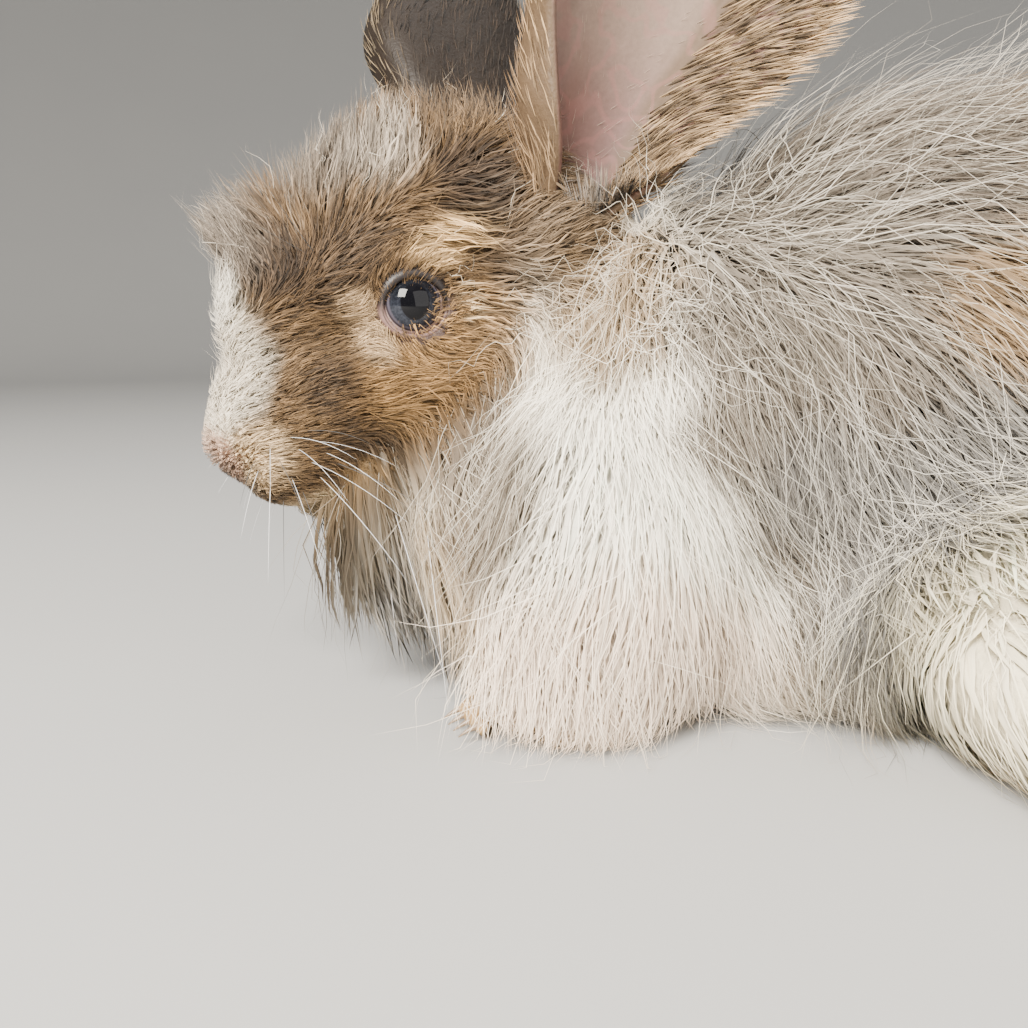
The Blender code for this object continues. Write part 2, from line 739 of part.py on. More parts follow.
def grown_radii(flesh, coat):
    """Radii of a mass of the trunk out to its share of the coat."""
    return [size + depth * CORE_SHARE for size, depth in zip(flesh, coat)]


def reaches(thing, length):
    """Whether a piece has any corner in the space of a length."""
    for vertex in thing.data.vertices:
        if all(side * signed_distance(vertex.co, cut) > 0 for cut, side in LENGTHS[length]):
            return True
    return False


def trunk_grows(place, normal):
    """Where the trunk carries locks: all but the belly and inside the head."""
    if normal.z < FACES_DOWN or place.z < LOWEST_ROOT:
        return 0
    if signed_distance(place, "behind_head") < INTO_HEAD:
        return 0
    rear = ease((place.x - GAINS_FROM) / GAINS_OVER)
    return FRONT_SIZE + rear * (REAR_GAIN + BACK_GAIN * max(normal.z, 0))


def trunk_lie(place, normal):
    """The lie of the trunk's coat: back along the spine, down the flanks and the bib."""
    behind = ease((place.x - BEHIND_FROM) / BEHIND_OVER)
    side = 1 if place.y > SPINE_Y else -1
    back = Vector((LIE_ON_BACK.x, LIE_ON_BACK.y * side, LIE_ON_BACK.z))
    return TRUNK_LIE + LIE_BEHIND * behind + back * max(normal.z, 0.0)


def in_head(place):
    """A place in the head's own axes, in millimetres."""
    return head_axes().inverted() @ place / MM


def crown_grows(place, normal):
    """Where the tufts of the forehead and crown stand."""
    right, ahead, up = in_head(place)
    area = CROWN_AREA
    if up < area["above"] or abs(right) > area["beside"]:
        return 0
    return 1 if area["behind"] < ahead < area["before"] else 0


def crown_lie(place, normal):
    """The tufts of the forehead lean forward, and those of the crown back."""
    lie = FOREHEAD_LIE if in_head(place).y > CROWN_PARTING else CROWN_LIE
    return head_axes().to_3x3() @ lie


def cheek_grows(place, normal):
    """Where the cheeks carry locks, behind and below the eyes."""
    right, ahead, up = in_head(place)
    area = CHEEK_AREA
    if signed_distance(place, "behind_head") > ONTO_NECK or abs(right) < area["beside"]:
        return 0
    return 1 if ahead < area["before"] and up < area["below"] else 0


def cheek_lie(place, normal):
    """The cheeks' wool lies back and down."""
    return head_axes().to_3x3() @ CHEEK_LIE


def beard_grows(place, normal):
    """Where the beard hangs from the jaw."""
    ahead, up = in_head(place)[1:]
    area = BEARD_AREA
    if signed_distance(place, "behind_head") > ONTO_NECK or normal.z > area["faces_down"]:
        return 0
    return 1 if up < area["below"] and ahead < area["before"] else 0


def beard_lie(place, normal):
    """The beard hangs down and a little back."""
    return BEARD_LIE


def leg_grows(place, normal):
    """Where a leg carries locks: its upper side, away from the floor and the toes."""
    return 1 if normal.z > LEG_FACES_DOWN and place.z > LEG_LOWEST_ROOT else 0


def leg_lie(place, normal):
    """A leg's wool lies outwards and down."""
    return LEG_LIE + Vector((normal.x, normal.y, 0.0)) * LEG_LIE_OUTWARD


def tail_grows(place, normal):
    """The tail carries locks all over its free side."""
    return 1 if place.x > TAIL_FREE_X or place.z > TAIL_FREE_Z else 0


def tail_lie(place, normal):
    """The tail's wool lies up and back."""
    return TAIL_LIE


def paint(thing, finish):
    """Give an object its own material."""
    colour, roughness = FINISHES[finish]
    material = bpy.data.materials.new(thing.name)
    material.use_nodes = True
    shader = material.node_tree.nodes["Principled BSDF"]
    shader.inputs["Base Color"].default_value = (*colour, 1)
    shader.inputs["Roughness"].default_value = roughness
    shader.inputs["Metallic"].default_value = 0
    thing.data.materials.clear()
    thing.data.materials.append(material)


def build():
    """Make every node of the rabbit."""
    clear_scene()
    rabbit = collection_named("angora_rabbit")
    chance = random.Random(SEED)
    nodes = {}
    seats = []
    forms = [(centre, grown_radii(flesh, coat)) for _, centre, flesh, coat in TRUNK_FORMS]
    trunk = blended("trunk", forms, Matrix.Identity(4), TRUNK_VOXEL, CORE_FACES, rabbit)
    trunk_shell = shell_of(trunk)
    for name, leg in LEGS.items():
        nodes[name] = leg_mass(name, leg, rabbit)
        corners = [vertex.co for vertex in nodes[name].data.vertices]
        seats.append(hull_around(corners, "seat_" + name, SEAT_GROWTH, rabbit))
        if name.startswith("hind"):
            locks = grow_locks(nodes[name], "leg", leg_grows, leg_lie, [trunk_shell], chance, rabbit)
            combine(nodes[name], locks, "UNION", rabbit)
        above_floor(nodes[name], rabbit)
        largest_surface(nodes[name])
    nodes["tail"] = blended("tail", TAIL_FORMS, Matrix.Identity(4), LEG_VOXEL, TAIL_FACES, rabbit)
    corners = [vertex.co for vertex in nodes["tail"].data.vertices]
    seats.append(hull_around(corners, "seat_tail", SEAT_GROWTH, rabbit))
    locks = grow_locks(nodes["tail"], "tail", tail_grows, tail_lie, [trunk_shell], chance, rabbit)
    combine(nodes["tail"], locks, "UNION", rabbit)
    for name, ear in EARS.items():
        nodes[name] = ear_blade(name, ear, rabbit)
        combine(nodes[name], [ear_burr("burr", ear, rabbit)], "UNION", rabbit)
        largest_surface(nodes[name])
        root = ear_frame(ear)[0]
        corners = [vertex.co for vertex in nodes[name].data.vertices]
        sunk = [corner for corner in corners if (corner - root).length < EAR_SUNK]
        seats.append(hull_around(sunk, "seat_" + name, SEAT_GROWTH, rabbit))
    for name, side in (("eye_left", -1), ("eye_right", 1)):
        nodes[name] = eye_ball(name, side, EYE_RADIUS, rabbit)
    others = [shell_of(node) for node in nodes.values()]
    head = head_mass(rabbit)
    locks = grow_locks(trunk, "trunk", trunk_grows, trunk_lie, others, chance, rabbit)
    for kind, grows, lies in (("crown", crown_grows, crown_lie), ("cheek", cheek_grows, cheek_lie),
                              ("beard", beard_grows, beard_lie)):
        locks += grow_locks(head, kind, grows, lies, others, chance, rabbit)
    whole = [head, trunk] + locks
    for length in LENGTHS:
        pieces = [copy_of(thing, rabbit) for thing in whole if reaches(thing, length)]
        node = pieces[0]
        node.name = length
        combine(node, pieces[1:], "UNION", rabbit)
        combine(node, [region(length, rabbit)], "INTERSECT", rabbit)
        combine(node, [copy_of(seat, rabbit) for seat in seats], "DIFFERENCE", rabbit)
        largest_surface(node)
        nodes[length] = node
    for spare in whole + seats:
        bpy.data.objects.remove(spare, do_unlink=True)
    for name, node in nodes.items():
        join_flat_faces(node)
        paint(node, name if name in FINISHES else name.rsplit("_", 1)[0])


build()
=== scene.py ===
# %% [markdown]
# # An angora rabbit, dressed over its solids
# The solids give the body, the head, the ears and broad locks. Here one skin takes
# their place, and tens of thousands of fine tapered strands grow from it, the way
# wool does: short on the face and feet, long and clumped on the body.

# %% The frame
import math

import bpy
import numpy as np
from mathutils import Matrix, Vector
from mathutils.bvhtree import BVHTree
from mathutils.kdtree import KDTree


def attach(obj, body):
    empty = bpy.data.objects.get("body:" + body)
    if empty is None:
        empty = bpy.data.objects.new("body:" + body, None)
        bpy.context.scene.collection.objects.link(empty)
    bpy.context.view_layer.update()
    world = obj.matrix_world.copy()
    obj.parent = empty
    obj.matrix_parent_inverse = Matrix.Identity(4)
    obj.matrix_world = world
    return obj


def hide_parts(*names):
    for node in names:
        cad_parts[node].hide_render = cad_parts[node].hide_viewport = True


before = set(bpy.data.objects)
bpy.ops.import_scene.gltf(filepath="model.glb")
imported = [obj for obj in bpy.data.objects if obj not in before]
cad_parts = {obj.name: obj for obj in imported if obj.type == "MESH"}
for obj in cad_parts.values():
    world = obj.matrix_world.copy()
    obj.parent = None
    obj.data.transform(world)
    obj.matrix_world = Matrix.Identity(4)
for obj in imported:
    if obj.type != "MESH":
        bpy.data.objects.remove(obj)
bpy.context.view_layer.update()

MM = 0.001

# %% [markdown]
# ## Small helpers
# Operators act on whatever is selected, so everything is deselected before a new
# primitive is added. Most lengths below are in millimetres, because a rabbit is small.


# %% Helpers for objects
def only(*things):
    """Select these objects alone; the last one is the active one."""
    bpy.ops.object.select_all(action="DESELECT")
    for thing in things:
        thing.select_set(True)
    bpy.context.view_layer.objects.active = things[-1]


def applied(thing, kind, **settings):
    """Add a modifier with these settings and apply it."""
    only(thing)
    change = thing.modifiers.new(kind.lower(), kind)
    for name, value in settings.items():
        setattr(change, name, value)
    bpy.ops.object.modifier_apply(modifier=change.name)


def joined(name, things):
    """Join several objects into one at the origin."""
    only(*things)
    if len(things) > 1:
        bpy.ops.object.join()
    whole = bpy.context.active_object
    whole.name = name
    bpy.ops.object.transform_apply(location=True, rotation=True, scale=True)
    return whole


def corners_of(thing):
    """Places of a mesh's corners, in metres."""
    return np.array([vertex.co for vertex in thing.data.vertices])


def face_outwards(thing):
    """Turn every face of a closed mesh outwards."""
    only(thing)
    bpy.ops.object.mode_set(mode="EDIT")
    bpy.ops.mesh.select_all(action="SELECT")
    bpy.ops.mesh.normals_make_consistent(inside=False)
    bpy.ops.object.mode_set(mode="OBJECT")


def ease(x):
    """A smooth step from 0 to 1, for numbers and arrays."""
    x = np.clip(x, 0.0, 1.0)
    return x * x * (3 - 2 * x)


def unit(vectors):
    """Vectors made one long."""
    return vectors / np.maximum(np.linalg.norm(vectors, axis=-1, keepdims=True), 1e-9)


# %% [markdown]
# ## The head's own axes
# The head is turned to one side and tipped down. Its forms are easier to think about
# in its own axes, right, forward and up, from the point midway between the eyes.

# %% Head axes
HEAD_PLACE = np.array([-106.6, -1.5, 100.6])
HEAD_YAW = math.radians(20)
HEAD_PITCH = math.radians(35)
ahead_flat = np.array([-math.cos(HEAD_YAW), -math.sin(HEAD_YAW), 0.0])
upright = np.array([0.0, 0.0, 1.0])
head_forward = ahead_flat * math.cos(HEAD_PITCH) - upright * math.sin(HEAD_PITCH)
head_up = ahead_flat * math.sin(HEAD_PITCH) + upright * math.cos(HEAD_PITCH)
HEAD_TURN = np.stack((np.cross(head_forward, head_up), head_forward, head_up))


def from_head(points):
    """Places in the head's axes, in mm, as places in the world, in mm."""
    return HEAD_PLACE + np.asarray(points, float) @ HEAD_TURN


def in_head(points):
    """Places in the world, in mm, as places in the head's axes, in mm."""
    return (np.asarray(points, float) - HEAD_PLACE) @ HEAD_TURN.T


def head_euler(tilt=0.0, axis="X"):
    """Rotation of the head's axes, tilted further about one of them."""
    turn = Matrix(HEAD_TURN.T.tolist()) @ Matrix.Rotation(tilt, 3, axis)
    return turn.to_euler()


print("nose tip at", np.round(from_head((0, 57, -5))))

# %% [markdown]
# ## The flesh as a set of rounded masses
# Each mass is an ellipsoid: its middle, its radii, and on the trunk how deep the coat
# over it is. The trunk's are the masses of the solids, and the head's are a little
# smaller, so that the skin lies inside the solids by the coat's depth.

# %% Masses of the body
HEAD_MASSES = (
    ((0, -10, 6), (25, 32, 27)), ((0, -36, 0), (23, 22, 24)), ((0, 17, 10), (15.5, 22, 20)),
    ((0, 22, -8), (20.5, 24.5, 19.5)), ((0, 38, -6), (11.8, 18, 15)), ((0, 50, -4), (6, 7.6, 6.6)),
    ((-7.5, 41, -15), (8.2, 13.2, 9.2)), ((7.5, 41, -15), (8.2, 13.2, 9.2)),
    ((-15, -2, -15), (13.5, 24, 21)), ((15, -2, -15), (13.5, 24, 21)),
    ((-16.5, 2, 12), (8, 15, 8)), ((16.5, 2, 12), (8, 15, 8)),
    ((0, 37, -26.5), (8, 11, 7)), ((0, 12, -25), (16, 28, 12)),
)
TRUNK_MASSES = (
    ((-56, 2, 91), (22, 22, 27), (12, 16, 16)), ((-76, -6, 60), (18, 18, 22), (12, 14, 20)),
    ((-84, -10, 44), (12, 12, 14), (16, 14, 18)), ((-30, -2, 72), (32, 32, 44), (16, 26, 26)),
    ((-52, -15, 42), (25, 29, 36), (22, 26, 12)), ((-64, -20, 30), (16, 18, 18), (18, 22, 16)),
    ((18, 6, 79), (46, 40, 53), (20, 30, 38)), ((64, 14, 75), (44, 42, 59), (28, 30, 40)),
    ((12, 4, 28), (58, 34, 31), (6, 20, 1)),
)
FORELEG_MASSES = (
    ((-46, -22, 42), (10, 10, 19)), ((-58, -27, 20), (8, 8, 17)), ((-71, -32, 7), (14, 7, 7)),
    ((-48, 12, 42), (10, 10, 19)), ((-58, 14, 20), (8, 8, 17)), ((-71, 12, 7), (15, 8, 7)),
)
HIND_LEG_MASSES = (
    ((48, -32, 30), (26, 20, 23)), ((37, -56, 20), (18, 25, 16)), ((44, -84, 13), (13, 26, 10)),
    ((54, -107, 8), (10, 15, 7)), ((62, 48, 34), (28, 18, 26)), ((84, 56, 16), (22, 12, 13)),
    ((56, 62, 10), (28, 9, 9)), ((34, 65, 8), (14, 9, 7)),
)
TAIL_MASSES = (((122, 26, 42), (12, 10, 13)), ((134, 29, 52), (9, 9, 11)))
FEET = (
    ((-79, -34, 4.5), (-87, -37, 4), 4.0), ((-79, 11, 4.5), (-88, 9, 4), 4.2),
    ((58, -113, 5), (61, -123, 4.5), 5.4), ((28, 66, 5), (18, 67, 4.5), 5.4),
)
TOES = 4
# Depth of the coat over a mass that gives none
SHORT_FUR = (4, 4, 4)


def toe_lines():
    """Middle and end of each toe of each foot, with the toe's width."""
    for start, end, width in FEET:
        start, end = np.array(start), np.array(end)
        across = unit(np.cross(end - start, upright))
        for toe in range(TOES):
            aside = across * (toe - (TOES - 1) / 2) * width * 0.95
            yield start * 0.3 + end * 0.7 + aside, end + aside * 1.05, width


print(len(HEAD_MASSES) + len(TRUNK_MASSES), "masses of head and trunk")


# %% [markdown]
# ## One skin
# Balls are added at each mass's place and size, joined, and given one smooth surface
# by a voxel remesh, as a sculptor smooths lumps of clay together. The head gets a
# finer surface than the body, and a Boolean union then makes them one.

# %% Blend the masses into smooth forms
HEAD_VOXEL = 0.8
BODY_VOXEL = 1.5


def ball(centre, radii, turn=(0, 0, 0), finer=4):
    """One ellipsoid, with its sizes in mm."""
    bpy.ops.object.select_all(action="DESELECT")
    bpy.ops.mesh.primitive_ico_sphere_add(
        subdivisions=finer, radius=1, location=Vector(centre) * MM, rotation=turn,
        scale=Vector(radii) * MM)
    return bpy.context.active_object


def smooth_form(name, balls, voxel, rounds):
    """Blend balls into one smooth closed form."""
    whole = joined(name, balls)
    applied(whole, "REMESH", mode="VOXEL", voxel_size=voxel * MM)
    applied(whole, "SMOOTH", factor=0.8, iterations=rounds)
    print(name, len(whole.data.polygons), "faces")
    return whole


head = smooth_form("head_flesh", [ball(from_head(centre), radii, head_euler())
                                  for centre, radii in HEAD_MASSES], HEAD_VOXEL, 24)
body_balls = [ball(centre, radii) for centre, radii, _ in TRUNK_MASSES]
body_balls += [ball(centre, radii) for centre, radii in FORELEG_MASSES + HIND_LEG_MASSES + TAIL_MASSES]
body_balls += [ball(middle, (width * 0.7,) * 3, finer=3) for middle, _, width in toe_lines()]
skin = smooth_form("skin", body_balls, BODY_VOXEL, 8)

# %% [markdown]
# ## The ears
# An ear is a thin blade, rolled up at its root and open above. A flat grid is bent
# into that shape: along it runs the ear's length, and across it the roll.

# %% Shape of an ear
EAR_ROOT = np.array([19.0, -39.0, -7.0])
EAR_HALF_WIDTH = 35.5
EAR_ROOT_RADIUS = 9.0
EAR_WALL = 1.7
# Share of its length at which an ear is widest, and over which it then narrows to its tip
EAR_WIDEST = 0.6
EAR_NARROWS = 0.405
# Half angle of the roll at the root, how much it opens by what share, and above that
EAR_ROLL = 150
EAR_UNROLLS = 88
EAR_OPEN_AT = 0.4
EAR_UNROLLS_ABOVE = 24
# The front edge folds outwards and over, which shows the ear's back from in front
FOLD_FROM = 0.45
FOLD_OUT = 8.0
FOLD_OVER = 6.0
EARS = {
    "left": {"side": -1, "points": (0.453, -0.085, 0.888), "opens": (0.342, -0.940, 0.0), "length": 120},
    "right": {"side": 1, "points": (-0.08, 0.62, 0.78), "opens": (-0.643, 0.766, 0.0), "length": 114},
}


def ear_axes(ear):
    """Root of an ear, and the directions it points, opens and spreads in."""
    root = from_head(EAR_ROOT * (ear["side"], 1, 1))
    points = unit(np.array(ear["points"], float))
    opens = np.array(ear["opens"], float)
    opens = unit(opens - points * opens.dot(points))
    return root, points, opens, np.cross(points, opens)


def ear_place(ear, share, across):
    """Places on the middle of an ear's blade; across runs from -1 to 1."""
    root, points, opens, side = ear_axes(ear)
    width = EAR_ROOT_RADIUS + (EAR_HALF_WIDTH - EAR_ROOT_RADIUS) * ease(share / EAR_WIDEST)
    beyond = np.clip((share - EAR_WIDEST) / EAR_NARROWS, 0, 1)
    width = width * (1 - beyond ** 2) ** 0.5
    roll = np.radians(EAR_ROLL - EAR_UNROLLS * ease(share / EAR_OPEN_AT) - EAR_UNROLLS_ABOVE * share)
    radius = width / np.sin(np.minimum(roll, math.pi / 2))
    angle = roll * across
    edge = np.clip((across * ear["side"] - FOLD_FROM) / (1 - FOLD_FROM), 0, 1)
    fold = ease(share / 0.25) * (1 - ease((share - 0.5) / 0.45))
    aside = radius * np.sin(angle) + ear["side"] * FOLD_OUT * np.sin(math.pi * edge) * fold
    wave = 0.5 * np.sin(9 * share + 2.1 * across) * ease(share * 3) * np.abs(across)
    outward = radius * (1 - np.cos(angle)) + wave - EAR_ROOT_RADIUS + FOLD_OVER * edge ** 2 * fold
    along = points * ear["length"] * share[:, None]
    return root + along + side * aside[:, None] + opens * outward[:, None]


def ear_blade(name, ear):
    """One ear, bent from a flat grid and given its wall."""
    bpy.ops.object.select_all(action="DESELECT")
    bpy.ops.mesh.primitive_grid_add(x_subdivisions=56, y_subdivisions=64, size=2, location=(0, 0, 0))
    blade = bpy.context.active_object
    blade.name = name
    flat = corners_of(blade)
    bent = ear_place(ear, (flat[:, 1] + 1) / 2, flat[:, 0]) * MM
    blade.data.vertices.foreach_set("co", bent.ravel())
    applied(blade, "SOLIDIFY", thickness=EAR_WALL * MM, offset=0.0)
    face_outwards(blade)
    return blade


ears = [ear_blade("ear_blade_" + name, ear) for name, ear in EARS.items()]
BURR_RADII = (12, 12, 11)
burrs = []
for ear in EARS.values():
    root, points, opens, side = ear_axes(ear)
    turn = Matrix(np.stack((side, opens, points)).T.tolist()).to_euler()
    burrs.append(ball(root, BURR_RADII, turn))
print("ears made")

# %% [markdown]
# ## Lids, mouth and nostrils
# The lids are a shell round each eye, joined to the head. What is open in the real
# head is then cut: the sockets and the openings between the lids, the groove of the
# mouth, the cleft below the nose and the two nostrils.

# %% Union and cuts
EYE_RADIUS = 9.0
EYE_SIDE = 19.5
EYE_LONG = 8.1
EYE_HIGH = 7.6
EYE_TILT = math.radians(35)
# The ball that cuts the opening between the lids: how far out it lies and how thick it is
OPENING_SIDE = 28.5
OPENING_THICK = 8.5
SOCKET_GAP = 0.15
LID_RADIUS = 10.4
LIP_RADIUS = 1.7
GROOVE_RADIUS = 0.75
HEAD_DETAIL_VOXEL = 0.7
CLEFT = ((0, 56.0, -12.5), (0.55, 2.6, 5.5))
NOSTRIL = ((3.7, 56.2, -6.3), (3.0, 2.6, 0.8))
NOSTRIL_LEAN = math.radians(40)
MOUTH = ((-14.5, 27.5, -26), (-11.6, 37, -24), (-9.6, 46, -23.5), (-5.6, 51.5, -20), (0, 52.5, -17.8),
         (5.6, 51.5, -20), (9.6, 46, -23.5), (11.6, 37, -24), (14.5, 27.5, -26))


def combined(base, others, operation):
    """Join or cut with closed objects, which are then removed."""
    for other in others:
        applied(base, "BOOLEAN", operation=operation, solver="MANIFOLD", object=other)
        bpy.data.objects.remove(other, do_unlink=True)


def line_tube(name, points, radius, rounder=3):
    """A round closed tube along points, in mm."""
    curve = bpy.data.curves.new(name, "CURVE")
    curve.dimensions = "3D"
    curve.bevel_depth = radius * MM
    curve.bevel_resolution = rounder
    curve.use_fill_caps = True
    spline = curve.splines.new("POLY")
    spline.points.add(len(points) - 1)
    for spot, point in zip(spline.points, points):
        spot.co = (*(np.asarray(point) * MM), 1)
    tube = bpy.data.objects.new(name, curve)
    bpy.context.scene.collection.objects.link(tube)
    only(tube)
    bpy.ops.object.convert(target="MESH")
    tube = bpy.context.active_object
    bpy.ops.object.mode_set(mode="EDIT")
    bpy.ops.mesh.select_all(action="SELECT")
    bpy.ops.mesh.remove_doubles(threshold=0.02 * MM)
    bpy.ops.object.mode_set(mode="OBJECT")
    return tube


def fine_line(points, count):
    """More points on a smooth line through a few."""
    points = np.asarray(points, float)
    spots = np.linspace(0, len(points) - 1, count)
    first = np.clip(spots.astype(int), 0, len(points) - 2)
    t = (spots - first)[:, None]
    before = points[np.maximum(first - 1, 0)]
    start, end = points[first], points[first + 1]
    after = points[np.minimum(first + 2, len(points) - 1)]
    return 0.5 * (2 * start + (end - before) * t + (2 * before - 5 * start + 4 * end - after) * t ** 2
                  + (3 * start - before - 3 * end + after) * t ** 3)


lids = [ball(from_head((side * EYE_SIDE, 0, 0)), (LID_RADIUS,) * 3, head_euler()) for side in (-1, 1)]
mouth_points = from_head(fine_line(MOUTH, 41))
lips = [line_tube("lips", mouth_points, LIP_RADIUS)]
combined(head, lids + lips, "UNION")
applied(head, "REMESH", mode="VOXEL", voxel_size=HEAD_DETAIL_VOXEL * MM)
applied(head, "SMOOTH", factor=0.7, iterations=4)
mouth_groove = line_tube("mouth_groove", mouth_points, GROOVE_RADIUS)
cuts = [mouth_groove, ball(from_head(CLEFT[0]), CLEFT[1], head_euler(), 3)]
for side in (-1, 1):
    cuts.append(ball(from_head((side * EYE_SIDE, 0, 0)), (EYE_RADIUS + SOCKET_GAP,) * 3, head_euler()))
    opening = (OPENING_THICK, EYE_LONG, EYE_HIGH)
    cuts.append(ball(from_head((side * OPENING_SIDE, 0, 0)), opening, head_euler(EYE_TILT)))
    lean = head_euler(-side * NOSTRIL_LEAN, "Y")
    cuts.append(ball(from_head((side * NOSTRIL[0][0], *NOSTRIL[0][1:])), NOSTRIL[1], lean, 3))
combined(head, cuts, "DIFFERENCE")
combined(skin, [head] + burrs + ears, "UNION")
print("skin has", len(skin.data.polygons), "faces")

# %% Flat under the belly and an unwrap
# Height in metres at which the skin is cut level, just above the floor
LEVEL_CUT = 0.0006
only(skin)
bpy.ops.object.mode_set(mode="EDIT")
bpy.ops.mesh.select_all(action="SELECT")
bpy.ops.mesh.bisect(plane_co=(0, 0, LEVEL_CUT), plane_no=(0, 0, -1), use_fill=True, clear_outer=True)
bpy.ops.mesh.select_all(action="SELECT")
bpy.ops.mesh.quads_convert_to_tris()
bpy.ops.uv.smart_project(angle_limit=math.radians(66), island_margin=0.002)
bpy.ops.object.mode_set(mode="OBJECT")
bpy.ops.object.shade_smooth()
skin.data.uv_layers[0].name = "Unwrap"
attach(skin, "root")
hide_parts("head", "neck", "chest", "torso", "rump", "tail", "ear_left", "ear_right",
            "foreleg_left", "foreleg_right", "hind_leg_left", "hind_leg_right")
print("skin has", len(skin.data.polygons), "triangles")

# %% [markdown]
# ## The shape of the flesh as a formula
# A strand of wool has to follow the body. Instead of asking the mesh at each step, a
# formula gives the distance from the blended masses and the way out of them, for
# thousands of points at once. It also tells which part of the animal a point is on.

# %% Distance to the flesh
PARTS = ("head", "trunk", "foreleg", "hind_leg", "tail")
middles, stretches, coats, owners = [], [], [], []
burr_masses = tuple((EAR_ROOT * (side, 1, 1), (11.5, 11.5, 11.5)) for side in (-1, 1))
all_masses = (HEAD_MASSES + burr_masses, TRUNK_MASSES, FORELEG_MASSES, HIND_LEG_MASSES, TAIL_MASSES)
for part, masses in zip(PARTS, all_masses):
    for mass in masses:
        centre, radii = np.array(mass[0], float), np.array(mass[1], float)
        turn = HEAD_TURN if part == "head" else np.eye(3)
        middles.append(from_head(centre) if part == "head" else centre)
        stretches.append(turn / radii[:, None])
        coats.append(mass[2] if len(mass) > 2 else SHORT_FUR)
        owners.append(PARTS.index(part))
middles, stretches = np.array(middles), np.array(stretches)
coats, owners = np.array(coats, float), np.array(owners)
BLEND = 4.0


def flesh(points):
    """Distance from the flesh, the way out, coat depth, and share of each part of the animal."""
    offset = points[:, None, :] - middles
    local = np.einsum("mij,nmj->nmi", stretches, offset)
    pull = np.einsum("mji,nmj->nmi", stretches, local)
    size = np.linalg.norm(local, axis=2)
    steep = np.maximum(np.linalg.norm(pull, axis=2), 1e-9)
    distance = size * (size - 1) / steep
    nearest = distance.min(axis=1)
    weight = np.exp(-(distance - nearest[:, None]) / BLEND)
    total = weight.sum(axis=1)
    out = unit((weight[:, :, None] * pull / steep[:, :, None]).sum(axis=1))
    weight = weight / total[:, None]
    depth = (weight * np.linalg.norm(out[:, None, :] * coats, axis=2)).sum(axis=1)
    shares = np.stack([weight[:, owners == part].sum(axis=1) for part in range(len(PARTS))], axis=1)
    return nearest - BLEND * np.log(total) * 0.5, out, depth, shares


print("flesh made of", len(middles), "masses")

# %% [markdown]
# ## Zones of the coat
# How long the wool is, how far it stands from the skin, how wide a strand is and how
# freely it hangs change over the animal. Soft zones with named numbers say so, and
# each point mixes the zones that it lies in.

# %% Zones
BEHIND_HEAD = (np.array([-55.0, 2.0, 108.0]), unit(np.array([0.90, 0.12, -0.42])))
# Length, height over the skin, width, grip on the body and wave. The height of ruff, bib
# and flank gives way to the coat's own depth there.
COAT = {
    "nose": (1.8, 0.7, 0.26, 1.0, 0.0),
    "muzzle": (4.6, 1.6, 0.30, 1.0, 0.05),
    "blaze": (9.0, 5.5, 0.34, 0.6, 0.4),
    "face": (8.5, 3.0, 0.34, 1.0, 0.35),
    "forehead": (19.0, 10.5, 0.30, 0.1, 1.4),
    "crown": (17.0, 9.0, 0.32, 0.1, 1.3),
    "cheek": (15.0, 5.0, 0.34, 0.5, 0.8),
    "beard": (46.0, 7.0, 0.32, 0.0, 1.6),
    "ear_base": (15.0, 5.0, 0.34, 0.3, 1.0),
    "ruff": (32.0, 15.0, 0.36, 0.3, 1.6),
    "bib": (42.0, 18.0, 0.36, 0.1, 1.4),
    "flank": (48.0, 27.0, 0.40, 0.45, 2.6),
    "belly": (12.0, 4.0, 0.70, 0.8, 0.5),
    "leg": (24.0, 8.0, 0.38, 0.5, 1.2),
    "foot": (7.0, 2.0, 0.45, 1.0, 0.1),
    "tail": (24.0, 10.0, 0.40, 0.2, 1.6),
}
EAR_ROOTS = [ear_axes(ear)[0] for ear in EARS.values()]


def behind_head(points):
    """How far points lie behind the cut at the back of the head, in mm."""
    return (points - BEHIND_HEAD[0]) @ BEHIND_HEAD[1]


def distance_from(points, places):
    """Distance of each point from the nearest of some places."""
    return np.min([np.linalg.norm(points - place, axis=1) for place in places], axis=0)


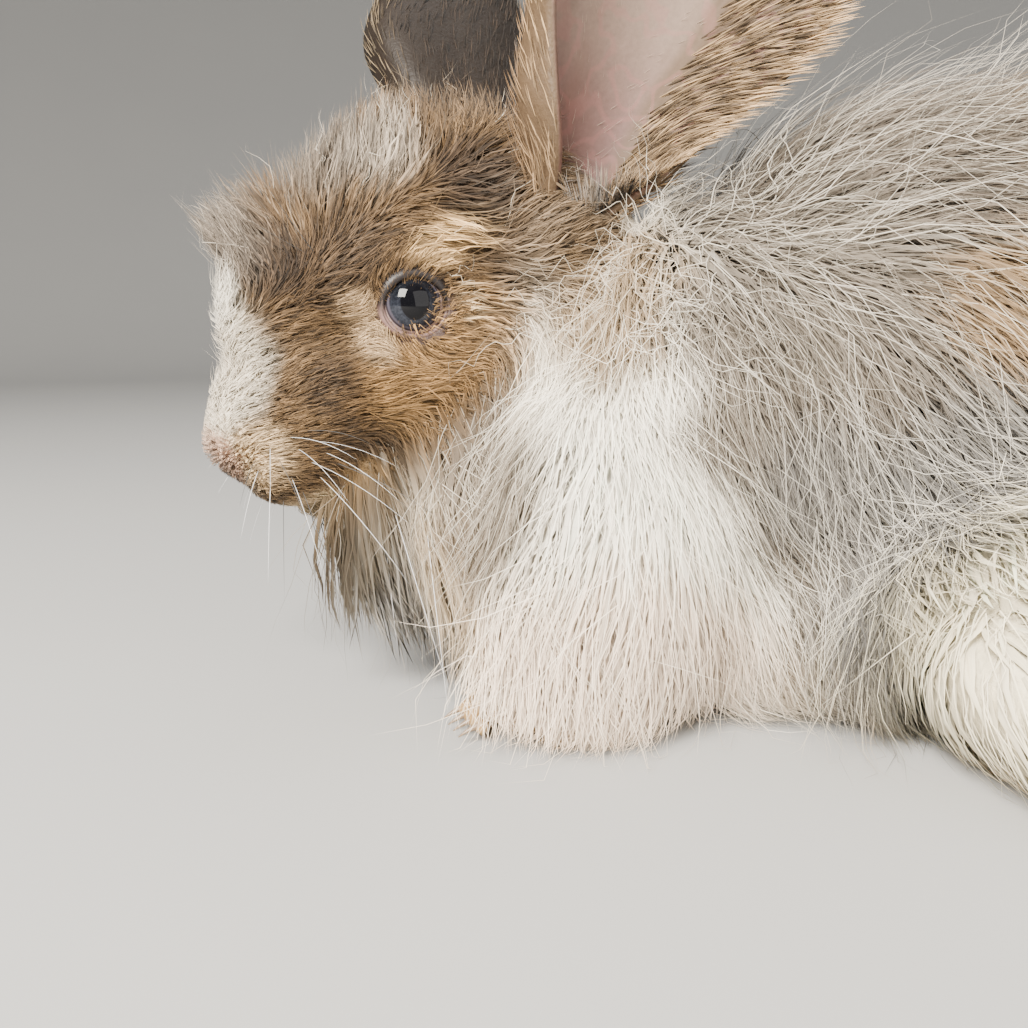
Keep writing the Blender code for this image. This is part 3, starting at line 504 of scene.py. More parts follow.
def zones(points, out, shares):
    """Weight of each zone of the coat at each point."""
    right, ahead, up = in_head(points).T
    x, y, z = points.T
    head_share, trunk, foreleg, hind, tail = shares.T
    on_head = head_share * (1 - ease((behind_head(points) + 6) / 12))
    trunk = trunk + head_share - on_head
    weight = {}
    weight["nose"] = on_head * ease((ahead - 46) / 8)
    top = on_head * ease((up - 16) / 9)
    weight["forehead"] = top * ease((ahead - 2) / 12) * (1 - ease((ahead - 28) / 8))
    middle = ease((13 - np.abs(right)) / 6)
    weight["blaze"] = (on_head * middle * ease((ahead - 26) / 8) * (1 - ease((ahead - 45) / 7))
                       * ease((up - 1) / 6))
    weight["crown"] = top * (1 - ease((ahead - 2) / 12))
    beard = ease((-17 - up) / 8) * (1 - ease((ahead - 38) / 7))
    weight["beard"] = 2 * on_head * beard
    weight["cheek"] = on_head * ease((-2 - ahead) / 14) * (1 - ease((up - 14) / 8)) * 1.5
    weight["muzzle"] = on_head * ease((ahead - 24) / 14) * (1 - ease((ahead - 46) / 8)) * 0.8 * (1 - beard)
    weight["cheek"] = weight["cheek"] * (1 - 0.7 * beard)
    used = sum(weight.values())
    weight["face"] = np.maximum(on_head - used, 0.02 * on_head)
    low = ease((-0.35 - out[:, 2]) / 0.3)
    weight["belly"] = trunk * low
    front = 1 - ease((x + 42) / 30)
    weight["bib"] = trunk * (1 - low) * front * (1 - ease((z - 70) / 30))
    weight["ruff"] = trunk * (1 - low) * front * ease((z - 70) / 30)
    weight["flank"] = trunk * (1 - low) * (1 - front)
    toes = ease((-78 - y) / 26) + ease((62 - x) / 20) * ease((y - 55) / 6)
    toes = np.clip(toes + ease((6 - z) / 5), 0, 1)
    weight["leg"] = hind * (1 - toes)
    weight["foot"] = hind * toes + foreleg
    weight["tail"] = tail
    base = np.exp(-(distance_from(points, EAR_ROOTS) / 17) ** 4)
    weight = {name: values * (1 - base) for name, values in weight.items()}
    weight["ear_base"] = base
    return weight


def coat_numbers(points, out, depth, shares):
    """Length, height, width, grip and wave of the coat at each point."""
    weight = zones(points, out, shares)
    total = sum(weight.values()) + 1e-6
    numbers = sum(w[:, None] * np.array(COAT[name]) for name, w in weight.items()) / total[:, None]
    deep = (weight["flank"] + weight["bib"] + weight["ruff"]) / total
    numbers[:, 1] = numbers[:, 1] * (1 - deep) + depth * 0.92 * deep
    round_eye = np.exp(-(distance_from(points, EYE_FRONTS) / 14) ** 4)
    numbers[:, :2] *= (1 - 0.6 * round_eye)[:, None]
    front_foot = ease((-58 - points[:, 0]) / 30) * ease((45 - points[:, 2]) / 30)
    numbers[:, 1] *= 1 - 0.65 * front_foot * deep
    under_jaw = np.exp(-(distance_from(points, UNDER_JAW) / 24) ** 2)
    numbers[:, 1] *= 1 - 0.55 * under_jaw * deep
    feet = (weight["leg"] + weight["foot"]) / total
    reach = 5 + 1.0 * points[:, 2]
    numbers[:, 0] = np.where(feet > 0.4, numbers[:, 0], np.minimum(numbers[:, 0], reach))
    return numbers


EYE_FRONTS = [from_head((side * 27, 0, 0)) for side in (-1, 1)]
UNDER_JAW = [from_head((side * 30, 4, -36)) for side in (-1, 1)]
print(len(COAT), "zones of the coat")

# %% [markdown]
# ## The lie of the coat
# Wool lies back from the nose over the face, stands up on the forehead and crown,
# hangs from the jaw, and streams out of a whorl behind the ear: forward and down
# into the bib, up and back over the spine, down and back along the flank.

# %% Lie
WHORL = np.array([-40.0, -30.0, 116.0])


def lie(points, out, shares):
    """Direction in which the coat lies at each point, along the body."""
    right, ahead, up = in_head(points).T
    x, y, z = points.T
    near = np.sign(right)
    flat = np.ones_like(x)
    weight = zones(points, out, shares)
    lean = 0.02 + 0.26 * ease((ahead - 8) / 20)
    flows = {}
    flows["nose"] = np.stack((0.4 * near, -flat, 0.1 * flat), axis=1) @ HEAD_TURN
    flows["muzzle"] = np.stack((0.5 * near, -flat, -0.3 * flat), axis=1) @ HEAD_TURN
    flows["face"] = np.stack((0.3 * near, -flat, -0.3 * flat), axis=1) @ HEAD_TURN
    flows["forehead"] = np.stack((0.02 * right, lean, 0.9 * flat), axis=1) @ HEAD_TURN
    flows["crown"] = np.stack((0.03 * right, -0.35 * flat, flat), axis=1) @ HEAD_TURN
    flows["cheek"] = np.stack((0.1 * near, -0.75 * flat, -0.75 * flat), axis=1) @ HEAD_TURN
    flows["blaze"] = np.stack((0.5 * near, -0.7 * flat, 0.35 * flat), axis=1) @ HEAD_TURN
    flows["beard"] = np.stack((0.36 * flat, -0.10 * flat, -flat), axis=1)
    flows["ear_base"] = np.stack((0.8 * flat, -0.1 * flat, 0.35 * flat), axis=1)
    flows["ruff"] = np.stack((0.25 * flat, 0.1 * np.sign(y), -flat), axis=1)
    flows["bib"] = np.stack((0.12 * flat, 0.0 * flat, -flat), axis=1)
    rising = ease((z - 88) / 40)
    rear = ease((x - 80) / 50)
    side = np.sign(y - 8)
    flows["flank"] = np.stack((0.5 + 0.5 * rising, 0.25 * side * rising, -0.9 + 1.2 * rising), axis=1)
    flows["flank"] = flows["flank"] * (1 - rear[:, None]) + rear[:, None] * np.stack(
        (0.7 * flat, 0.1 * side, -0.8 * flat), axis=1)
    flows["belly"] = np.stack((0.8 * flat, 0.3 * side, -0.2 * flat), axis=1)
    left_leg = (y < 0)[:, None]
    flows["leg"] = np.where(left_leg, (0.25, -0.6, -0.6), (-0.1, 0.25, -0.9))
    flows["foot"] = np.where(left_leg, (0.2, -1.0, -0.1), (-1.0, 0.05, -0.1))
    flows["foot"] = np.where((x < -30)[:, None], (-1.0, -0.1, -0.3), flows["foot"])
    flows["tail"] = np.stack((0.6 * flat, 0.1 * flat, 0.8 * flat), axis=1)
    flow = unit(sum(weight[name][:, None] * unit(flows[name]) for name in flows))
    away = points - WHORL
    far = np.linalg.norm(away, axis=1)
    pull = 0.55 * np.exp(-(far / 26) ** 2) * ease(far / 7) * (1 - shares[:, 0])
    flow = flow * (1 - pull[:, None]) + unit(away) * pull[:, None]
    for eye in EYE_FRONTS:
        away = points - eye
        pull = 1.3 * np.exp(-(np.linalg.norm(away, axis=1) / 14) ** 4)
        flow = flow + unit(away) * pull[:, None]
    swirl = 0.22 * np.sin(0.10 * x + 0.06 * z + 1.0) + 0.18 * np.sin(0.13 * y - 0.09 * z + 0.05 * x)
    swirl = (swirl * (1 - weight["face"]))[:, None]
    flow = unit(flow * np.cos(swirl) + np.cross(out, flow) * np.sin(swirl))
    numbers = sum(weight[name] * COAT[name][3] for name in weight)
    hold = np.clip(0.4 + numbers, 0, 1)[:, None]
    return unit(flow - out * (flow * out).sum(axis=1, keepdims=True) * hold)


print("whorl at", WHORL)

# %% [markdown]
# ## Markings
# The coat's colours are soft patches laid over one another, each with a middle, a
# size and a colour. Skin and strands ask the same function, so that they agree.

# %% Markings
WHITE = (0.95, 0.88, 0.74)
CREAM = (0.60, 0.43, 0.25)
GOLD = (0.23, 0.128, 0.045)
AGOUTI = (0.11, 0.066, 0.030)
DARK = (0.028, 0.017, 0.010)
NOSE_PINK = (0.52, 0.33, 0.23)
GREY = (0.15, 0.122, 0.095)
BLUE_GREY = (0.15, 0.147, 0.14)
TAUPE = (0.165, 0.138, 0.108)
BEIGE = (0.36, 0.26, 0.15)
FAWN = (0.27, 0.175, 0.09)
PINK_WHITE = (0.88, 0.70, 0.54)
LEG_WHITE = (0.94, 0.84, 0.60)
STAIN = (0.46, 0.28, 0.11)
# Patches on the head, in its own axes and alike on both sides: middle, radii, colour, strength
FACE_PATCHES = (
    ((28, 2, -18), (20, 26, 16), GOLD, 0.75), ((26, 22, -12), (9, 9, 10), GOLD, 0.5),
    ((22, 12, 18), (10, 16, 9), DARK, 0.55), ((14, 21, 25), (9, 9, 8), DARK, 0.75),
    ((27, -15, 8), (11, 12, 6), (0.50, 0.32, 0.145), 0.9), ((21, -28, 15), (12, 11, 11), DARK, 0.85),
    ((30, -22, 0), (8, 8, 10), DARK, 0.45),
    ((17, 28, -19), (8, 8, 9), DARK, 0.5), ((20, 27, -5), (6, 7, 8), DARK, 0.55),
    ((14, 32, -27), (7, 8, 5), STAIN, 0.5), ((6, 46, -26), (10, 10, 7), CREAM, 0.85),
    ((0, 41, 9), (13.5, 23, 19), (0.80, 0.70, 0.55), 0.95), ((7, 47, -10), (10, 9, 10), CREAM, 0.75),
    ((0, 56, -6), (9, 7, 9), NOSE_PINK, 0.9), ((0, 57, -20), (8, 6, 7), NOSE_PINK, 0.7),
    ((0, 28, 34), (18, 16, 14), GREY, 0.9), ((6, 38, 30), (13, 9, 12), WHITE, 0.8),
    ((17, -14, 33), (11, 12, 11), (0.40, 0.34, 0.27), 0.6), ((10, -4, 36), (14, 12, 12), GREY, 0.75),
    ((23, 13, 2), (5, 6, 10), (0.50, 0.34, 0.19), 0.8), ((30, -9, -4), (5, 5, 7), CREAM, 0.75),
    ((31, 0, -38), (20, 26, 15), GREY, 0.9), ((38, -20, -30), (12, 14, 16), CREAM, 0.5),
    ((0, 18, -50), (44, 44, 24), (0.46, 0.375, 0.27), 0.92),
)
# Patches on the body, in the world's axes: middle, radii, colour, strength
BODY_PATCHES = (
    # The first patch darkens the whole top of the back. This is painted shade, where the back lies out of
    # the light.
    ((20, 0, 142), (110, 60, 30), (0.055, 0.043, 0.031), 0.9),
    ((28, -50, 104), (22, 34, 16), FAWN, 0.85), ((70, 0, 120), (50, 60, 40), FAWN, 0.5),
    ((6, -55, 44), (20, 30, 22), BLUE_GREY, 0.8), ((26, -50, 72), (30, 30, 20), BLUE_GREY, 0.75),
    ((-10, -42, 70), (16, 30, 16), BLUE_GREY, 0.6), ((20, -30, 130), (34, 40, 18), GREY, 0.6),
    ((-20, 50, 60), (60, 30, 50), BLUE_GREY, 0.4), ((134, 29, 52), (20, 20, 22), (0.42, 0.34, 0.25), 0.7),
)
# Patches over the white of the bib: middle, radii, colour, strength
BIB_PATCHES = (
    ((-92, -14, 38), (20, 36, 26), BEIGE, 0.9), ((-83, -34, 66), (21, 24, 27), (0.13, 0.095, 0.065), 0.9),
    ((-50, -48, 22), (40, 40, 30), PINK_WHITE, 0.9),
    ((-53, -28, 106), (22, 26, 18), (0.20, 0.125, 0.055), 0.9),
    ((-10, -40, 26), (9, 40, 22), FAWN, 0.6),
)


def patched(points, ground, patches):
    """Lay soft patches of colour over one ground colour."""
    colour = np.tile(np.array(ground), (len(points), 1))
    for middle, radii, tone, strength in patches:
        near = np.linalg.norm((points - middle) / radii, axis=1)
        blend = strength * (1 - ease((near - 0.7) / 0.5))[:, None]
        colour = colour * (1 - blend) + np.array(tone) * blend
    return colour


def markings(points, shares):
    """Colour of the coat at each point."""
    x, _, z = points.T
    head_share = (shares[:, 0] * (1 - ease((behind_head(points) + 4) / 14)))[:, None]
    local = in_head(points)
    local[:, 0] = np.abs(local[:, 0])
    face = patched(local, AGOUTI, FACE_PATCHES)
    body = patched(points, TAUPE, BODY_PATCHES)
    edge = -40 + 0.5 * np.maximum(82 - z, 0) + 3 * np.sin(0.3 * z)
    bib = (1 - ease((x - edge + 4) / 10))[:, None]
    body = body * (1 - bib) + patched(points, WHITE, BIB_PATCHES) * bib
    legs = np.clip(shares[:, 3] * 1.3 - 0.1, 0, 1)[:, None]
    stain = (1 - ease((z - 3) / 9))[:, None]
    leg = np.array(LEG_WHITE) * (1 - stain) + np.array(STAIN) * stain
    body = body * (1 - legs) + leg * legs
    paws = (shares[:, 2] * (1 - ease((z - 8) / 10)))[:, None]
    body = body * (1 - paws) + np.array(STAIN) * paws
    return face * head_share + body * (1 - head_share)


print(len(FACE_PATCHES) + len(BODY_PATCHES) + len(BIB_PATCHES), "patches")

# %% [markdown]
# ## Strands
# A strand is a thin closed blade of three sides that narrows to a point. Its path is
# stepped along the lie, and at each step it is set at its own height over the flesh.
# Strands near one another then lean to a shared path, which gives locks with gaps.

# %% Roots on the skin
def corner_data(thing):
    """Corners, triangles and unwrap of a mesh as arrays, in mm."""
    mesh = thing.data
    corners = np.zeros(len(mesh.vertices) * 3)
    mesh.vertices.foreach_get("co", corners)
    loops = np.zeros(len(mesh.loops), int)
    mesh.loops.foreach_get("vertex_index", loops)
    unwrap = np.zeros(len(mesh.loops) * 2)
    mesh.uv_layers[0].data.foreach_get("uv", unwrap)
    return corners.reshape(-1, 3) / MM, loops.reshape(-1, 3), unwrap.reshape(-1, 3, 2)


skin_corners, skin_faces, skin_unwrap = corner_data(skin)
skin_tree = BVHTree.FromPolygons(skin_corners.tolist(), skin_faces.tolist())
edge_a = skin_corners[skin_faces[:, 1]] - skin_corners[skin_faces[:, 0]]
edge_b = skin_corners[skin_faces[:, 2]] - skin_corners[skin_faces[:, 0]]
face_out = np.cross(edge_a, edge_b)
face_area = np.linalg.norm(face_out, axis=1) / 2
face_out = unit(face_out)
face_middle = skin_corners[skin_faces].mean(axis=1)
print("skin area", round(face_area.sum() / 100), "cm2")


def pick_roots(weight, count, chance):
    """Random places on the skin, thicker where the weight is greater."""
    odds = face_area * weight
    picked = chance.choice(len(odds), count, p=odds / odds.sum())
    a, b = chance.random(count), chance.random(count)
    over = a + b > 1
    a[over], b[over] = 1 - a[over], 1 - b[over]
    mix = np.stack((1 - a - b, a, b), axis=1)
    places = (skin_corners[skin_faces[picked]] * mix[:, :, None]).sum(axis=1)
    unwrap = (skin_unwrap[picked] * mix[:, :, None]).sum(axis=1)
    return places, unwrap


def nearest_unwrap(places):
    """Place on the skin's unwrap nearest to each of some places."""
    found = [skin_tree.find_nearest(Vector(place))[2] for place in places]
    return skin_unwrap[found].mean(axis=1)


def grid_faces(rows, columns):
    """Four-cornered faces of a grid of points."""
    return [(r * columns + c, r * columns + c + 1, (r + 1) * columns + c + 1, (r + 1) * columns + c)
            for r in range(rows - 1) for c in range(columns - 1)]


def blade_spots(points, ear, lowest):
    """For points on an ear: share of its length, place across it and side, above 0 in its cup; else nan."""
    share, across = np.meshgrid(np.linspace(lowest, 1, 46), np.linspace(-1, 1, 41))
    share, across = share.ravel(), across.ravel()
    blade = ear_place(ear, share, across)
    faces = grid_faces(41, 46)
    tree = BVHTree.FromPolygons(blade.tolist(), faces)
    root, along, opens, _ = ear_axes(ear)
    close = (points > blade.min(axis=0) - 3) & (points < blade.max(axis=0) + 3)
    found = np.full((len(points), 3), np.nan)
    for index in np.flatnonzero(close.all(axis=1)):
        place, _, face, _ = tree.find_nearest(Vector(points[index]), 2.4)
        if place is None:
            continue
        at = share[list(faces[face])].mean()
        hollow = root + along * (at * ear["length"]) + opens * (at * 40)
        found[index, :2] = at, across[list(faces[face])].mean()
        found[index, 2] = (points[index] - np.array(place)) @ (hollow - np.array(place))
    return found


def ear_share(points, lowest):
    """One where points are on an ear's blade, from some share of its length upwards."""
    spots = [blade_spots(points, ear, lowest)[:, 0] for ear in EARS.values()]
    return np.any(~np.isnan(spots), axis=0).astype(float)


# %% Paths of strands
# Least height of a strand's path over the floor
FLOOR = 0.7
# About one turn of a wave, in radians
WHOLE_TURN = 6.28


def body_paths(roots, numbers, steps, turn, chance):
    """Paths that follow the flesh from their roots, and the way out at each of their steps."""
    count = len(roots)
    length = numbers[:, 0] * chance.uniform(0.7, 1.15, count)
    height, grip = numbers[:, 1], numbers[:, 3]
    place = roots
    _, out, _, shares = flesh(place)
    points, outs = [roots], [out]
    first = lie(place, out, shares)
    held = np.clip(grip * 1.6, 0, 1)[:, None]
    sine, cosine = np.sin(turn)[:, None], np.cos(turn)[:, None]
    for step in range(1, steps + 1):
        share = step / steps
        flow = unit(lie(place, out, shares) * held + first * (1 - held))
        flow = flow * cosine + np.cross(out, flow) * sine
        place = place + flow * (length / steps)[:, None]
        distance, out, _, shares = flesh(place)
        short = height * share ** 0.6 - distance
        short = np.where(short > 0, short, short * grip)
        place = place + out * short[:, None]
        place[:, 2] += np.maximum(FLOOR * (1 + share) - place[:, 2], 0)
        points.append(place)
        outs.append(out)
    return np.stack(points, axis=1), np.stack(outs, axis=1)


def leaders_of(roots, per_clump, chance):
    """For each root, the nearest of a few roots that lead a clump."""
    leaders = chance.choice(len(roots), max(len(roots) // per_clump, 1), replace=False)
    tree = KDTree(len(leaders))
    for index in leaders:
        tree.insert(Vector(roots[index]), int(index))
    tree.balance()
    return np.array([tree.find(Vector(root))[1] for root in roots])


def drawn(paths, leader, strength, power, chance):
    """Draw strands towards their leader's path, more so at their tips."""
    count, steps, _ = paths.shape
    share = np.linspace(0, 1, steps)[None, :, None]
    loose = chance.uniform(0.25, 1.0, (count, 1, 1))
    return paths + (paths[leader] - paths) * strength * loose * share ** power


def waved(paths, outs, amount, leader, turns, chance):
    """Give strands their crimp: shared by a lock, with a little of each strand's own."""
    count, steps, _ = paths.shape
    share = np.linspace(0, 1, steps)[None, :]
    phase = chance.uniform(0, WHOLE_TURN, count)
    rate = WHOLE_TURN * turns * chance.uniform(0.5, 1.3, count)
    own = chance.uniform(0, WHOLE_TURN, count)
    flow = unit(np.gradient(paths, axis=1))
    side = unit(np.cross(flow, outs))
    sway = np.sin(rate[leader][:, None] * share + phase[leader][:, None])
    sway = sway + 0.5 * np.sin(rate[:, None] * 1.4 * share + own[:, None])
    lift = 0.5 * np.sin(rate[:, None] * share + own[:, None] * 2)
    bend = side * sway[:, :, None] + outs * lift[:, :, None]
    return paths + bend * (share * amount[:, None])[:, :, None]

# %% [markdown]
# Each ring of a strand is a flat triangle, wide across the lie and thin away from
# the body. The strands of one region become one mesh, filled from arrays.

# %% Mesh of many strands
# How far the light sees the coat's surface instead of each strand's
SOFTNESS = 0.75
# Side of a strand's patch on the OFBake map
BAKE_PATCH = 0.003


def width_along(share):
    """Width of a strand from root to tip."""
    return (0.6 + 0.4 * ease(share / 0.2)) * (1 - share ** 1.8) + 0.08


def strand_mesh(name, paths, outs, width, tints, unwrap, chance, soft=SOFTNESS):
    """One mesh of many closed, tapered strands, with its colours and maps."""
    count, rings, _ = paths.shape
    share = np.linspace(0, 1, rings)
    flow = unit(np.gradient(paths, axis=1))
    side = unit(np.cross(flow, outs))
    roll = chance.uniform(-0.6, 0.6, count)[:, None, None]
    side = unit(side * np.cos(roll) + np.cross(flow, side) * np.sin(roll))
    up = np.cross(side, flow)
    half = (width[:, None] * width_along(share)[None, :] / 2)[:, :, None]
    ring = np.stack((paths - side * half, paths + side * half, paths + up * half * 0.8), axis=2)
    corners = np.concatenate((ring[:, :-1].reshape(count, -1, 3), paths[:, -1:, :]), axis=1)
    # The light sees the coat's own surface more than each strand's, which makes wool look soft
    bent = np.stack((-side, side, up), axis=2) * (1 - soft) + outs[:, :, None] * soft
    facing = unit(np.concatenate((bent[:, :-1].reshape(count, -1, 3), outs[:, -1:, :]), axis=1))
    per = corners.shape[1]
    faces = [(0, 1, 2)]
    for step in range(rings - 2):
        for edge in range(3):
            low, low_next = step * 3 + edge, step * 3 + (edge + 1) % 3
            faces.append((low, low_next + 3, low_next))
            faces.append((low, low + 3, low_next + 3))
    last = (rings - 2) * 3
    for edge in range(3):
        faces.append((last + edge, per - 1, last + (edge + 1) % 3))
    faces = np.array(faces)
    index = (faces[None] + np.arange(count)[:, None, None] * per).reshape(-1)
    mesh = bpy.data.meshes.new(name)
    mesh.vertices.add(count * per)
    mesh.vertices.foreach_set("co", (corners * MM).ravel())
    mesh.loops.add(len(index))
    mesh.loops.foreach_set("vertex_index", index)
    mesh.polygons.add(len(index) // 3)
    mesh.polygons.foreach_set("loop_start", np.arange(0, len(index), 3))
    mesh.polygons.foreach_set("loop_total", np.full(len(index) // 3, 3))
    mesh.polygons.foreach_set("use_smooth", np.ones(len(index) // 3, bool))
    mesh.update(calc_edges=True)
    along = np.concatenate((np.repeat(share[:-1], 3), [1.0]))
    across = np.concatenate((np.tile((0.0, 1.0, 0.5), rings - 1), [0.5]))
    spot = np.stack((across - 0.5, along - 0.5), axis=1)[None] * BAKE_PATCH + unwrap[:, None, :]
    baked = mesh.uv_layers.new(name="OFBake")
    baked.data.foreach_set("uv", spot.reshape(-1, 2)[index].ravel())
    own = np.repeat(chance.random(count), per)
    fine = mesh.uv_layers.new(name="Strand")
    wide = np.repeat(width, per)
    fine_spot = np.stack((np.tile(across, count) * wide, np.tile(along, count)), axis=1)
    fine.data.foreach_set("uv", fine_spot[index].ravel())
    ringed = np.repeat(tints[:, :-1], 3, axis=1)
    tint = np.concatenate((ringed, tints[:, -1:]), axis=1).reshape(-1, 3)
    tint = np.concatenate((tint, np.ones((len(tint), 1))), axis=1)
    mesh.attributes.new("tint", "FLOAT_COLOR", "POINT").data.foreach_set("color", tint.ravel())
    mesh.attributes.new("along", "FLOAT", "POINT").data.foreach_set("value", np.tile(along, count))
    mesh.attributes.new("own", "FLOAT", "POINT").data.foreach_set("value", own)
    mesh.attributes.new("custom_normal", "FLOAT_VECTOR", "POINT").data.foreach_set("vector", facing.ravel())
    thing = bpy.data.objects.new(name, mesh)
    bpy.context.scene.collection.objects.link(thing)
    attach(thing, "root")
    print(name, count, "strands,", len(mesh.polygons), "triangles")
    return thing

# %% [markdown]
# ## Colours of the skin
# The skin asks the same markings as the strands, so that what shows between them is
# the same coat, and the cup of each ear gets its bare pinkish skin.

# %% Paint the skin's corners
# The right ear's back, edge and strip are painted far darker than the left's. This is painted shade,
# because the far ear lies out of the light. The skin and the fur of that ear both take these colours.
EAR_BACK = {"left": (0.13, 0.082, 0.045), "right": (0.016, 0.010, 0.006)}
EAR_EDGE = {"left": (0.36, 0.24, 0.13), "right": (0.16, 0.12, 0.07)}
EAR_STRIP = {"left": (0.12, 0.065, 0.027), "right": (0.016, 0.010, 0.006)}
LID_DARK = np.array((0.07, 0.045, 0.038))
EAR_CUP = np.array((0.23, 0.165, 0.13))
EAR_CHANNEL = np.array((0.15, 0.085, 0.075))
EAR_INSIDE_HAIR = np.array((0.36, 0.27, 0.21))
LIDS_REACH = 10.2


def paint_skin():
    """Write the markings and the ears' bare skin on the skin's corners; return how bare they are."""
    shares = flesh(skin_corners)[3]
    # The skin is painted darker than the coat's colours. This is painted shade under the strands, so the
    # gaps between them look deep.
    tone = markings(skin_corners, shares) * 0.85
    bare = np.zeros(len(skin_corners))
    lids_near = (distance_from(skin_corners, EYE_FRONTS) < LIDS_REACH)[:, None]
    tone = np.where(lids_near, LID_DARK, tone)
    for name, ear in EARS.items():
        spots = blade_spots(skin_corners, ear, 0.05)
        mine = ~np.isnan(spots[:, 0])
        share, across, side = spots[mine].T
        inner = (side > 0) * 1.0
        cup = EAR_CHANNEL + (EAR_CUP - EAR_CHANNEL) * ease((share[:, None] - 0.2) / 0.3)
        strip = ease((-across * ear["side"] - 0.2) / 0.25)[:, None]
        # The skin of an ear's back and strip is painted darker than its fur, as painted shade under the
        # hair
        cup = cup + (np.array(EAR_BACK[name]) * 0.7 - cup) * strip
        tone[mine] = np.where(inner[:, None] > 0, cup, np.array(EAR_BACK[name]) * 0.7)
        bare[mine] = inner
    tone = np.concatenate((tone, np.ones((len(tone), 1))), axis=1)
    skin.data.attributes.new("tint", "FLOAT_COLOR", "POINT").data.foreach_set("color", tone.ravel())
    skin.data.attributes.new("bare", "FLOAT", "POINT").data.foreach_set("value", bare)
    return bare


bare_skin = paint_skin()
print("skin painted,", round(100 * bare_skin.mean()), "% bare")

# %% [markdown]
# ## The coat, region by region
# A coat piece is kept under 200,000 triangles, so the coat is grown in regions. Each
# region says where it grows, how many strands it has and how many steps each takes.
# In each, broad strands lie below, fine ones above them, and a few stray.

# %% Regions
# No strands grow closer than this to the mouth's line and to the front of an eye
BARE_LIPS = 1.2
BARE_LIDS = 9.4
LIDS = [from_head((side * 26, 0, 0)) for side in (-1, 1)]


def regions():
    """Weight of every region at the middle of every face of the skin."""
    _, out, _, shares = flesh(face_middle)
    weight = zones(face_middle, out, shares)
    x, y, z = face_middle.T
    ahead = in_head(face_middle)[:, 1]
    grows = ear_share(face_middle, 0.14) < 0.5
    grows = grows & (bare_skin[skin_faces].mean(axis=1) < 0.5)
    grows = grows & (distance_from(face_middle, LIDS) > BARE_LIDS)
    grows = grows & (distance_from(face_middle, mouth_points) > BARE_LIPS)
    floor = ease((z - 1.5) / 4)
    near = y < 8
    left = in_head(face_middle)[:, 0] < 0
    flank = weight["flank"] * floor
    top = ease((out[:, 2] - 0.45) / 0.3)
    rear = ease((x - 72) / 20)
    face = weight["face"] + weight["muzzle"] * 1.4 + weight["nose"] * 1.6 + 0.35 * weight["forehead"]
    shade = np.where(near, 1.0, 0.55)
    found = {
        "coat_face_left": face * left,
        "coat_face_right": face * ~left,
        "coat_crown": weight["forehead"] + weight["crown"] + 1.3 * weight["ear_base"],
        "coat_beard": 0.7 * weight["cheek"] + weight["beard"] * (0.35 + 2.2 * ease((ahead - 4) / 20)),
        "coat_ruff": weight["ruff"] * shade,
        "coat_bib": weight["bib"] * floor * shade + 0.2 * weight["belly"] * floor,
        "coat_flank_left": flank * near * (1 - top) * (1 - rear),
        "coat_flank_right": flank * ~near * (1 - top) * (1 - rear),
        "coat_back": flank * top * (1 - rear) * shade,
        "coat_rump": flank * rear + weight["tail"] * 1.2,
        "coat_legs": (weight["leg"] + weight["foot"] * 1.4) * floor,
    }
    return {name: values * grows for name, values in found.items()}


# Strands, steps, strands in a small clump, its pull, and the pull of a whole lock
REGIONS = {
    "coat_face_left": (13000, 2, 6, 0.35, 0.1),
    "coat_face_right": (8500, 2, 6, 0.35, 0.1),
    "coat_crown": (4700, 4, 7, 0.45, 0.3),
    "coat_beard": (5200, 5, 8, 0.4, 0.3),
    "coat_ruff": (7000, 4, 9, 0.4, 0.3),
    "coat_bib": (7200, 4, 9, 0.35, 0.3),
    "coat_flank_left": (8000, 4, 10, 0.45, 0.5),
    "coat_flank_right": (4000, 4, 10, 0.45, 0.5),
    "coat_back": (5400, 4, 10, 0.45, 0.45),
    "coat_rump": (4000, 4, 10, 0.45, 0.45),
    "coat_legs": (4000, 4, 8, 0.45, 0.3),
}
STRANDS_IN_LOCK = 70


def varied(tints, leader, strays, short, chance):
    """Vary colours from lock to lock and hair to hair: ticked on brown fur, faint on wool."""
    count = len(tints)
    light = tints.mean(axis=(1, 2))
    brown = (1 - ease((light - 0.3) / 0.25)) * short
    lock = chance.uniform(0.88, 1.08, count)[leader]
    hair = chance.random(count)
    ticked = np.where(hair < 0.25, 0.40, np.where(hair > 0.76, 2.1, 1.0))
    factor = lock * (ticked * brown + (0.94 + 0.12 * hair) * (1 - brown))
    pale = np.where(strays, 0.4, 0.18 * (hair > 0.8))[:, None, None] * (1 - brown)[:, None, None]
    tints = tints * factor[:, None, None]
    return np.minimum(tints + (np.array(WHITE) - tints) * pale, 0.95)


